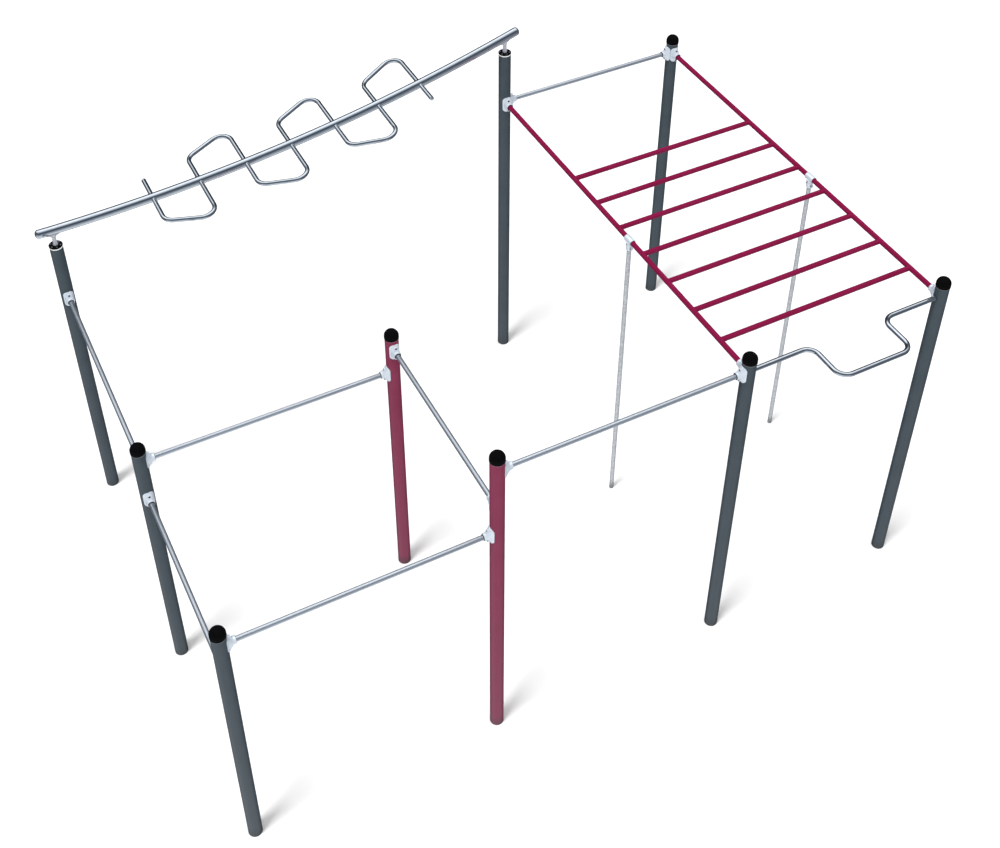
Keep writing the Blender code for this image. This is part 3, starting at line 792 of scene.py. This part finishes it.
def booleans(shape, steps):
    """A copy of a shape after Boolean steps with helpers, which are then removed."""
    base = helper(shape, "base", 0)
    for operation, other in steps:
        modifier = base.modifiers.new(operation, "BOOLEAN")
        modifier.operation = operation
        modifier.object = other
        modifier.solver = "EXACT"
    bpy.context.view_layer.update()
    evaluated = base.evaluated_get(bpy.context.evaluated_depsgraph_get())
    result = bmesh.new()
    result.from_mesh(evaluated.to_mesh())
    evaluated.to_mesh_clear()
    for obj in [base] + [other for _, other in steps]:
        bpy.data.objects.remove(obj)
    bmesh.ops.remove_doubles(result, verts=result.verts, dist=MERGE)
    return result


def bracket_shape(tube_radius):
    end = POST_RADIUS + BOSS_REACH
    steps = []
    for up in (SCREW_UP, -SCREW_UP):
        boss = rod(BOSS_RADIUS, POST_RADIUS + BOSS_SUNK, end, 1.5 * MM)
        hole = rod(HOLE_RADIUS, end - HOLE_DEPTH, end + BRACKET_REACH)
        steps += [("UNION", helper(boss, "boss", up)), ("DIFFERENCE", helper(hole, "hole", up))]
    return booleans(bracket_body(tube_radius), steps)


def screw_shape():
    """A socket-head screw along +X, seated at the bottom of its hole, with a six-sided drive."""
    seat = POST_RADIUS + BOSS_REACH - HOLE_DEPTH + GAP
    top = seat + HEAD_HEIGHT
    drive = hexagon(bmesh.new(), DRIVE_RADIUS, HEAD_HEIGHT, facing((top, 0, 0), (1, 0, 0)))
    head = rod(HOLE_RADIUS - HEAD_GAP, seat, top, 0.8 * MM)
    return booleans(head, [("DIFFERENCE", helper(drive, "drive", 0))])


# %% [markdown]
# Where a bar enters, a thin black bush sits in the hole. It is a dark ring, a painted shade for the
# gap at the mouth: a short collar in the hole, with a lip outside that rises to a crown at the bar.

# %% Make the brackets
BUSH_GAP = 0.1 * MM


def bush_shape(tube_radius, wall, depth, lip, crown):
    inner, outer = tube_radius + BUSH_GAP, tube_radius + wall
    outline = [(inner, -depth), (outer, -depth), (outer, lip), (inner, crown)]
    return turned(softened(outline, 0.6 * MM), closed=True)


bracket_shapes = {radius: bracket_shape(radius) for radius in (GRIP_RADIUS, RAIL_RADIUS)}
in_mouth = facing((POST_RADIUS + BRACKET_REACH, 0, 0), (1, 0, 0))
screw = screw_shape()
spans = [(posts, GRIP_RADIUS) for posts in BARS] + [(posts, RAIL_RADIUS) for posts in RAILS.values()]
for posts, radius in spans:
    for post, other in (posts, posts[::-1]):
        node = f"bracket_{post}_to_{other}"
        way = post_axis(other) - post_axis(post)
        turn = Matrix.Rotation(atan2(way.y, way.x), 4, "Z")
        place = on_post(post, middle_and_half(node)[0].z) @ turn
        casting = bracket_shapes[radius].copy()
        add_piece(casting, node + "_casting", cast_aluminium, place, node)
        bush = bush_shape(radius, 6.0 * MM, 2.8 * MM, 1.0 * MM, 3.0 * MM)
        add_piece(bush, node + "_bush", black_rubber, place @ in_mouth)
        for name, up in (("upper", SCREW_UP), ("lower", -SCREW_UP)):
            lifted = place @ Matrix.Translation((0, 0, up))
            add_piece(screw.copy(), f"{node}_screw_{name}", screw_black, lifted)
print("pieces", len(made_pieces))


# %% [markdown]
# ## Bent bar
# The grip bar between the front right posts steps out and back again, all on one level. A ring of
# edges is extruded along each straight run and spun round the centre of each bend, which is how a
# real tube is fed through a bender.

# %% Bent tubes
BEND_STEPS = 12
END_STEPS = 5


def close_with_dome(shape, edges, way, radius, depth):
    """Closes a ring of edges with a low dome that bulges along way."""
    verts = once(vert for edge in edges for vert in edge.verts)
    centre = sum((vert.co for vert in verts), Vector()) / len(verts)
    for step in range(1, END_STEPS + 1):
        angle = pi / 2 * step / (END_STEPS + 0.5)
        share = cos(angle)
        verts, edges = extrude_ring(shape, edges)
        for vert in verts:
            flat = vert.co - centre
            flat -= way * flat.dot(way)
            vert.co = centre + flat.normalized() * radius * share + way * depth * sin(angle)
    bmesh.ops.contextual_create(shape, geom=edges)


def bent_tube(corners, bend_radius, tube_radius, end_dome, points=48):
    """A tube through corners, with a bend of one radius at each and a low dome on each end."""
    corners = [Vector(corner) for corner in corners]
    shape = bmesh.new()
    way = first_way = (corners[1] - corners[0]).normalized()
    start = {"segments": points, "radius": tube_radius, "matrix": facing(corners[0], way)}
    first = edges = ring_edges(bmesh.ops.create_circle(shape, cap_ends=False, **start)["verts"])
    place = corners[0]
    for corner, after in zip(corners[1:], corners[2:] + [None]):
        out = (after - corner).normalized() if after else way
        turn = way.angle(out, 0.0)
        tangent = bend_radius * tan(turn / 2)
        ring, edges = extrude_ring(shape, edges)
        bmesh.ops.translate(shape, verts=ring, vec=corner - way * tangent - place)
        if after:
            axis = way.cross(out)
            centre = corner - way * tangent + axis.normalized().cross(way) * bend_radius
            bend = {"cent": centre, "axis": axis, "angle": turn, "steps": BEND_STEPS}
            last = bmesh.ops.spin(shape, geom=ring + edges, **bend)["geom_last"]
            edges = only(BMEdge, last)
            place = corner + out * tangent
            way = out
    close_with_dome(shape, first, -first_way, tube_radius, end_dome)
    close_with_dome(shape, edges, way, tube_radius, end_dome)
    return cleaned(shape)


# %% Make the bent bar
low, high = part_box("bent_bar")
bar_middle = (post_axis("a3").x + post_axis("a4").x) / 2
bar_row = post_axis("a3").y
bar_front = low.y + GRIP_RADIUS
bent_corners = [(low.x, bar_row, LADDER_LEVEL)]
for side, order in ((-1, (bar_row, bar_front)), (1, (bar_front, bar_row))):
    bent_corners += [(bar_middle + side * BENT_BAR_HALF_WIDTH, y, LADDER_LEVEL) for y in order]
bent_corners.append((high.x, bar_row, LADDER_LEVEL))
bent = bent_tube(bent_corners, BENT_BAR_BEND_RADIUS, GRIP_RADIUS, 0.5 * MM)
add_piece(bent, "bent_bar_tube", polished, node="bent_bar")
for post, side in (("a3", 1), ("a4", -1)):
    # A black bush rings the hole in the post round the bar, a painted shade for the gap.
    bush = bush_shape(GRIP_RADIUS, 3.5 * MM, 2 * MM, 0.8 * MM, 2 * MM)
    hole = on_post(post, LADDER_LEVEL) @ facing((side * (POST_RADIUS - 2 * MM), 0, 0), (side, 0, 0))
    add_piece(bush, f"bent_bar_bush_{post}", black_rubber, hole)
print("pieces", len(made_pieces))

# %% [markdown]
# ## Slalom beam and wave bar
# The beam sags in a long arc from one post to the other. It is turned straight, with a low dome on
# each end, and then laid along the arc: how far a point lies along the tube becomes an angle round
# the arc's centre. The wave bar is bent flat, laid along the same arc, and passes right through
# the beam at each of its legs.

# %% The arc
arc_low, arc_high = [
    post_axis(post) + Vector((0, 0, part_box("post_" + post)[1].z + BEAM_ABOVE_POST))
    for post in BEAM_POSTS.values()
]
chord = arc_high - arc_low
across = Vector((-chord.z, 0, chord.x)).normalized()
ARC_RISE = sqrt(BEAM_ARC_RADIUS**2 - chord.length_squared / 4)
ARC_CENTRE = (arc_low + arc_high) / 2 + across * ARC_RISE
START_ANGLE, END_ANGLE = [
    asin((end.x - ARC_CENTRE.x) / BEAM_ARC_RADIUS) for end in (arc_low, arc_high)
]
ARC_LENGTH = (END_ANGLE - START_ANGLE) * BEAM_ARC_RADIUS


def on_arc(along, side=0.0, up=0.0):
    """The place of a point this far along the beam from the low post, and off its axis."""
    angle = START_ANGLE + along / BEAM_ARC_RADIUS
    radius = BEAM_ARC_RADIUS - up
    return ARC_CENTRE + Vector((radius * sin(angle), side, -radius * cos(angle)))


def lay_on_arc(shape):
    """Bends a shape that was made straight along X to the beam's arc."""
    for vert in shape.verts:
        vert.co = on_arc(vert.co.x, vert.co.y, vert.co.z)
    return shape


print("arc length between posts", round(ARC_LENGTH, 4))

# %% Make the beam
BEAM_STEPS = 60
BEAM_END_STEPS = 8
beam_start, beam_end = -BEAM_OVERHANG, ARC_LENGTH + BEAM_OVERHANG
angles = quarter_steps(BEAM_END_STEPS)
dome = [(BEAM_RADIUS * sin(angle), BEAM_END_DOME * (1 - cos(angle))) for angle in angles]
run = beam_end - beam_start - 2 * BEAM_END_DOME
along = [beam_end - BEAM_END_DOME - run * step / BEAM_STEPS for step in range(1, BEAM_STEPS)]
outline = [(radius, beam_end - depth) for radius, depth in dome]
outline += [(BEAM_RADIUS, place) for place in along]
outline += [(radius, beam_start + depth) for radius, depth in reversed(dome)]
beam = lay_on_arc(moved(turned(outline), facing((0, 0, 0), (1, 0, 0))))
add_piece(beam, "slalom_beam_tube", polished, node="slalom_beam")

# %% Make the wave bar
legs = [WAVE_FIRST_LEG + WAVE_LEG_PITCH * number for number in range(WAVE_LEG_COUNT)]
wave_corners = [(legs[0], WAVE_TIP_REACH, 0)]
for number, (leg, following) in enumerate(zip(legs, legs[1:])):
    side = -1 if number % 2 == 0 else 1
    wave_corners += [(leg, side * WAVE_NEAR_REACH, 0), (following, side * WAVE_FAR_REACH, 0)]
wave_corners.append((legs[-1], -WAVE_TIP_REACH, 0))
wave = bent_tube(wave_corners, WAVE_BEND_RADIUS, GRIP_RADIUS, 3 * MM)
add_piece(lay_on_arc(wave), "wave_bar_tube", polished, node="wave_bar")
print("legs cross the beam at", [round(on_arc(leg).x, 3) for leg in legs])

# %% [markdown]
# Each leg is welded to the beam on both sides. The weld is the same small ring as on the rungs,
# turned a quarter so that the host tube runs along the beam, and left with its pickled grey.

# %% Weld the wave bar to the beam
SLIM_BEAD = 1.5 * MM
QUARTER_TURN = Matrix.Rotation(pi / 2, 4, "Z")
for number, leg in enumerate(legs, 1):
    for end, way in (("front", -1), ("rear", 1)):
        weld = weld_shape(GRIP_RADIUS, BEAM_RADIUS, way, SLIM_BEAD)
        weld = lay_on_arc(moved(weld, Matrix.Translation((leg, 0, 0)) @ QUARTER_TURN))
        add_piece(weld, f"wave_leg_{number}_weld_{end}", pickled_weld)
print("pieces", len(made_pieces))

# %% [markdown]
# ## Beam stands
# The beam stands on its two posts on a turned steel stem, flared at the foot, under a gusset that
# follows the beam. The stem is bolted through a black plate, and a white ring sits between plate
# and post.

# %% Sizes of a stand
RING_HEIGHT = 12 * MM
PLATE_HEIGHT = 6 * MM
PLATE_LIP = 2 * MM
STEM_RADIUS = 17 * MM
STEM_FOOT_RADIUS = 21 * MM
STEM_WAIST_RADIUS = 15 * MM
GUSSET_REACH = 64 * MM
GUSSET_DROP = 36 * MM
GUSSET_THICKNESS = 10 * MM
GUSSET_STEPS = 12
GUSSET_LIFT = 1.05 * MM
PLATE_BOLTS = 6
PLATE_BOLT_CIRCLE = 38 * MM


def stem_shape(height):
    """The stem from the plate's top up into the beam."""
    outline = [(0, height), (STEM_RADIUS, height), (STEM_RADIUS, height * 0.55)]
    outline += [(STEM_WAIST_RADIUS, height * 0.38), (STEM_RADIUS, height * 0.16)]
    outline += [(STEM_FOOT_RADIUS, 0), (0, 0)]
    return turned(softened(outline, 12 * MM, 6))


def beam_axis_height(x):
    return ARC_CENTRE.z - sqrt(BEAM_ARC_RADIUS**2 - (x - ARC_CENTRE.x) ** 2)


def gusset_top(x):
    return beam_axis_height(x) - BEAM_RADIUS + GUSSET_LIFT


def gusset_shape(x):
    """A plate along the beam whose top follows its underside and whose point reaches down the stem."""
    shape = bmesh.new()
    offs = [GUSSET_REACH * (1 - 2 * step / GUSSET_STEPS) for step in range(GUSSET_STEPS + 1)]
    outline = [(x, gusset_top(x) - GUSSET_DROP)] + [(x + off, gusset_top(x + off)) for off in offs]
    verts = [shape.verts.new((px, arc_low.y - GUSSET_THICKNESS / 2, pz)) for px, pz in outline]
    face = shape.faces.new(verts)
    raised = only(BMVert, bmesh.ops.extrude_face_region(shape, geom=[face])["geom"])
    bmesh.ops.translate(shape, verts=raised, vec=(0, GUSSET_THICKNESS, 0))
    bmesh.ops.recalc_face_normals(shape, faces=shape.faces)
    return bevelled(shape, [edge for edge in shape.edges if edge.calc_face_angle(0) > SHARP], 1 * MM, 2)


# %% Make the stands
WASHER_RADIUS, WASHER_HEIGHT = 6.5 * MM, 1.2 * MM
HEX_RADIUS, HEX_HEIGHT = 5.2 * MM, 4 * MM


def hex_bolt():
    """A low hexagon head on a washer."""
    shape = disc(WASHER_RADIUS, WASHER_HEIGHT, 0.4 * MM, SMALL_ROUND)
    middle = Matrix.Translation((0, 0, WASHER_HEIGHT + HEX_HEIGHT / 2))
    return hexagon(shape, HEX_RADIUS, HEX_HEIGHT, middle)


for level, post in BEAM_POSTS.items():
    node = "beam_stand_" + level
    x, base = post_axis(post).x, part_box(node)[0].z
    ring = disc(POST_RADIUS, RING_HEIGHT, 2.0 * MM)
    add_piece(ring, node + "_ring", white_plastic, on_post(post, base))
    plate = disc(POST_RADIUS + PLATE_LIP, PLATE_HEIGHT, 2.2 * MM)
    add_piece(plate, node + "_plate", black_plastic, on_post(post, base + RING_HEIGHT))
    top = base + RING_HEIGHT + PLATE_HEIGHT
    stem = stem_shape(beam_axis_height(x) - top)
    place = on_post(post, top)
    add_piece(stem, node + "_stem", blasted_steel, place, node)
    add_piece(gusset_shape(x), node + "_gusset", blasted_steel)
    for number in range(PLATE_BOLTS):
        angle = 2 * pi * (number + 0.5) / PLATE_BOLTS
        off = Vector((cos(angle), sin(angle), 0)) * PLATE_BOLT_CIRCLE
        name = f"{node}_bolt_{number + 1}"
        add_piece(hex_bolt(), name, bolt_zinc, place @ Matrix.Translation(off))
print("pieces", len(made_pieces))

# %% [markdown]
# ## Rail clamps
# A cast tee joins each thin prop to its rail: a sleeve round the rail and a socket below it, faired
# into each other, with two ears that a bolt pulls together.

# %% Make the rail clamps
CLAMP_WALL = 6.5 * MM
FLARE = 1.35
FLARE_TOP, FLARE_END = 0.35, 1.25
SOCKET_FLOOR = 8 * MM
EAR_WIDTH = 14 * MM
EAR_REACH = 12 * MM
EAR_HEIGHT = 34 * MM
EAR_BOLT_INSET = 7 * MM


def clamp_shape(half_length, drop, ear_up, ear_end, socket_radius):
    """The tee in its own place: the rail's axis runs along Y through the origin."""
    inside, outside = RAIL_RADIUS + GAP, RAIL_RADIUS + GAP + CLAMP_WALL
    bore = socket_radius - CLAMP_WALL
    length = 2 * half_length
    outline = [(inside, 0), (outside, 0), (outside, length), (inside, length)]
    sleeve = turned(softened(outline, 1.6 * MM), closed=True)
    outline = [(0, -outside * FLARE_TOP), (socket_radius * FLARE, -outside * FLARE_TOP)]
    outline += [(socket_radius, -outside * FLARE_END), (socket_radius, -drop), (bore, -drop)]
    outline += [(bore, -drop + SOCKET_FLOOR), (0, -drop + SOCKET_FLOOR)]
    socket = turned(softened(outline, 3 * MM, 5), 64)
    ears = bmesh.new()
    bmesh.ops.create_cube(ears, size=1)
    bmesh.ops.scale(ears, verts=ears.verts, vec=(EAR_WIDTH, 2 * ear_end, EAR_HEIGHT))
    steps = [
        ("UNION", helper(socket, "socket", 0)),
        ("UNION", helper(bevelled(ears, ears.edges[:], 3 * MM, 3), "ears", ear_up)),
        ("DIFFERENCE", helper(moved(rod(inside, -length, length), QUARTER_TURN), "rail_bore", 0)),
    ]
    return booleans(moved(sleeve, facing((0, -half_length, 0), (0, 1, 0))), steps)


for side in RAILS:
    node = "rail_clamp_" + side
    middle, half = middle_and_half(node)
    place = Matrix.Translation((RAIL_X[side], middle.y, LADDER_LEVEL))
    socket_radius = tube_line("prop_" + side)[2] + GAP + CLAMP_WALL
    drop = LADDER_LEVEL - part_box(node)[0].z
    ear_up = CLAMP_WALL + EAR_HEIGHT / 2 - drop
    ear_end = socket_radius + EAR_REACH
    clamp = clamp_shape(half.y, drop, ear_up, ear_end, socket_radius)
    add_piece(clamp, node + "_casting", cast_aluminium, place, node)
    for number, way in enumerate((-1, 1), 1):
        for end, off in (("front", -1), ("rear", 1)):
            seat = Vector((way * EAR_WIDTH / 2, off * (ear_end - EAR_BOLT_INSET), ear_up))
            seat = place @ facing(seat, (way, 0, 0))
            add_piece(hex_bolt(), f"{node}_bolt_{end}_{number}", bolt_zinc, seat)
    # A black bush at each end of the sleeve is a painted shade for the gap round the rail.
    for end, off in (("front", -1), ("rear", 1)):
        bush = bush_shape(RAIL_RADIUS, 2.6 * MM, 2 * MM, 0.8 * MM, 1.6 * MM)
        seat = place @ facing((0, off * half.y, 0), (0, off, 0))
        add_piece(bush, f"{node}_bush_{end}", black_rubber, seat)
print("pieces", len(made_pieces))

# %% [markdown]
# ## Camera
# The photograph looks down on the station from the front left. Its camera was found by fitting the
# posts' feet, tops and edges, and it is written here as a place, a heading and a focal length.

# %% Camera
IMAGE_WIDTH, IMAGE_HEIGHT = 1000, 848
SENSOR_WIDTH = 36
VIEW_DEPTH = 200
FOCAL_PIXELS = 1496.88
CENTRE_PIXEL = (490.88, 206.07)
CAMERA_FROM_POST_A1 = Vector((-0.9764, -5.5486, 9.9974))
CAMERA_HEADING = radians(27.056)
CAMERA_DOWN = radians(39.071)
CAMERA_ROLL = radians(-0.088)

camera_data = bpy.data.cameras.new("camera")
camera_data.sensor_width = SENSOR_WIDTH
camera_data.lens = FOCAL_PIXELS * camera_data.sensor_width / IMAGE_WIDTH
camera_data.shift_x = (IMAGE_WIDTH / 2 - CENTRE_PIXEL[0]) / IMAGE_WIDTH
camera_data.shift_y = (CENTRE_PIXEL[1] - IMAGE_HEIGHT / 2) / IMAGE_WIDTH
camera_data.clip_end = VIEW_DEPTH
camera = new_object("camera", camera_data)
aim = Matrix.Rotation(-CAMERA_HEADING, 4, "Z") @ Matrix.Rotation(pi / 2 - CAMERA_DOWN, 4, "X")
aim = aim @ Matrix.Rotation(CAMERA_ROLL, 4, "Z")
camera.matrix_world = Matrix.Translation(post_axis("a1") + CAMERA_FROM_POST_A1) @ aim
scene.camera = camera
shifts = [round(shift, 4) for shift in (camera_data.shift_x, camera_data.shift_y)]
print("lens", round(camera_data.lens, 2), "shift", *shifts)

# %% [markdown]
# ## Studio
# The station stands on a plain pale floor. One high, wide lamp on the left throws short shadows to
# the right, which fade within half a metre, and shiny tubes don't mirror it. Dull surfaces get an
# even fill from the sky, brighter from the right. Shiny tubes mirror its bands: bright on the far
# side, dark overhead and on the near side, and pale below, as in a product studio. Past the floor
# the camera sees plain white.

# %% Floor
FLOOR_REACH = 60.0
floor_shape = bmesh.new()
bmesh.ops.create_circle(floor_shape, cap_ends=True, segments=96, radius=FLOOR_REACH)
floor = new_object("floor", floor_shape)
floor.visible_glossy = False
pale = new_material("pale_floor", Base_Color=linear("#f5f5f5"), Roughness=0.9)[0]
floor.data.materials.append(pale)

# %% Sky
# Each stop is a turn in degrees from straight ahead, up over the station and round to below it,
# and the light that a shiny tube finds there.
SKY_STOPS = (
    (-180, 0.42), (-163, 0.60), (-133, 0.85), (-95, 0.90), (-78, 0.34), (-60, 0.06),
    (20, 0.04), (34, 0.05), (43, 0.08), (53, 1.15), (66, 1.40), (78, 1.40),
    (90, 1.10), (100, 0.75), (124, 0.15), (147, 0.06), (165, 0.20), (180, 0.42),
)
LEAST_BLUE, MORE_BLUE, BLUE_LIFT = 0.03, 0.22, 1.4
SIDE_LIGHT = 0.12
SIDE_TINT = (0.85, 1, 1.25)
LEFT_END, RIGHT_END = (-0.68, -0.92), (0.35, 0.85)
BAND_SLANT = radians(8)
SLANT_FROM, SLANT_TO = -0.05, -0.45
UPPER_SKY = 0.3
FILL_LEFT, FILL_RIGHT = 0.36, 0.94
FILL_REACH = 0.85
world = bpy.data.worlds.new("studio_sky")
scene.world = world
world.use_nodes = True
tree = world.node_tree
direction = add(tree, "TexCoord").outputs["Generated"]
heading = (sin(CAMERA_HEADING), cos(CAMERA_HEADING), 0)
sideways = (cos(CAMERA_HEADING), -sin(CAMERA_HEADING), 0)
ahead, aside = [
    add(tree, "VectorMath", {0: direction, 1: way}, operation="DOT_PRODUCT").outputs["Value"]
    for way in (heading, sideways)
]
up = add(tree, "SeparateXYZ", {"Vector": direction}).outputs["Z"]
over = add(tree, "Math", {0: up, 1: ahead}, operation="ARCTAN2")
# On the left the bright band starts lower, so that tubes that run away from the camera catch it.
slant = {"Value": aside, "From Min": SLANT_FROM, "From Max": SLANT_TO, "To Min": 0.0, "To Max": BAND_SLANT}
slant = add(tree, "MapRange", slant)
upper = add(tree, "Math", {0: up, 1: UPPER_SKY}, operation="GREATER_THAN")
over = add(tree, "Math", {0: slant, 1: upper, 2: over}, operation="MULTIPLY_ADD")
turn_share = add(tree, "MapRange", {"Value": over, "From Min": -pi, "From Max": pi})
bands = add(tree, "ValToRGB", {"Fac": turn_share})
while len(bands.color_ramp.elements) < len(SKY_STOPS):
    bands.color_ramp.elements.new(0.5)
for stop, (degrees, light) in zip(bands.color_ramp.elements, SKY_STOPS):
    # The darker a band is, the bluer.
    blue = LEAST_BLUE + MORE_BLUE * (1 - min(light, 1)) ** 2
    stop.position = (degrees + 180) / 360
    stop.color = (light * (1 - blue), light, light * (1 + BLUE_LIFT * blue), 1)
# The bands darken towards the two ends of the sky.
ends = [
    add(tree, "MapRange", {"Value": aside, "From Min": start, "From Max": full})
    for start, full in (LEFT_END, RIGHT_END)
]
ends = add(tree, "Math", {0: ends[0], 1: ends[1]}, operation="MAXIMUM")
dark_side = [SIDE_LIGHT * tint for tint in SIDE_TINT] + [1]
mirrored = add(tree, "Mix", {0: ends, 6: bands, 7: dark_side}, data_type="RGBA")
fill = {"Value": aside, "From Min": -FILL_REACH, "From Max": FILL_REACH}
fill = add(tree, "MapRange", {**fill, "To Min": FILL_LEFT, "To Max": FILL_RIGHT})
rays = add(tree, "LightPath").outputs
lit = {0: rays["Is Diffuse Ray"], 6: mirrored, 7: fill}
lit = add(tree, "Mix", lit, data_type="RGBA")
plain = {0: rays["Is Camera Ray"], 6: lit, 7: (1, 1, 1, 1)}
add(tree, "Mix", plain, tree.nodes["Background"].inputs["Color"], data_type="RGBA")
print("sky stops", len(SKY_STOPS))

# %% Lamp
SHADOW_WAY = Vector((0.948, 0.318, 0))
LAMP_HEIGHT = radians(75)
LAMP_WIDTH = radians(11)
LAMP_STRENGTH = 2.5

lamp_way = -SHADOW_WAY * cos(LAMP_HEIGHT) + Vector((0, 0, sin(LAMP_HEIGHT)))
lamp_data = bpy.data.lights.new("soft_lamp", "SUN")
lamp_data.angle = LAMP_WIDTH
lamp_data.energy = LAMP_STRENGTH
lamp = new_object("soft_lamp", lamp_data)
lamp.visible_glossy = False
lamp.matrix_world = facing(lamp_way, lamp_way)
scene.view_settings.view_transform = "Standard"

# %% Print the number of pieces
print("pieces", len(made_pieces))
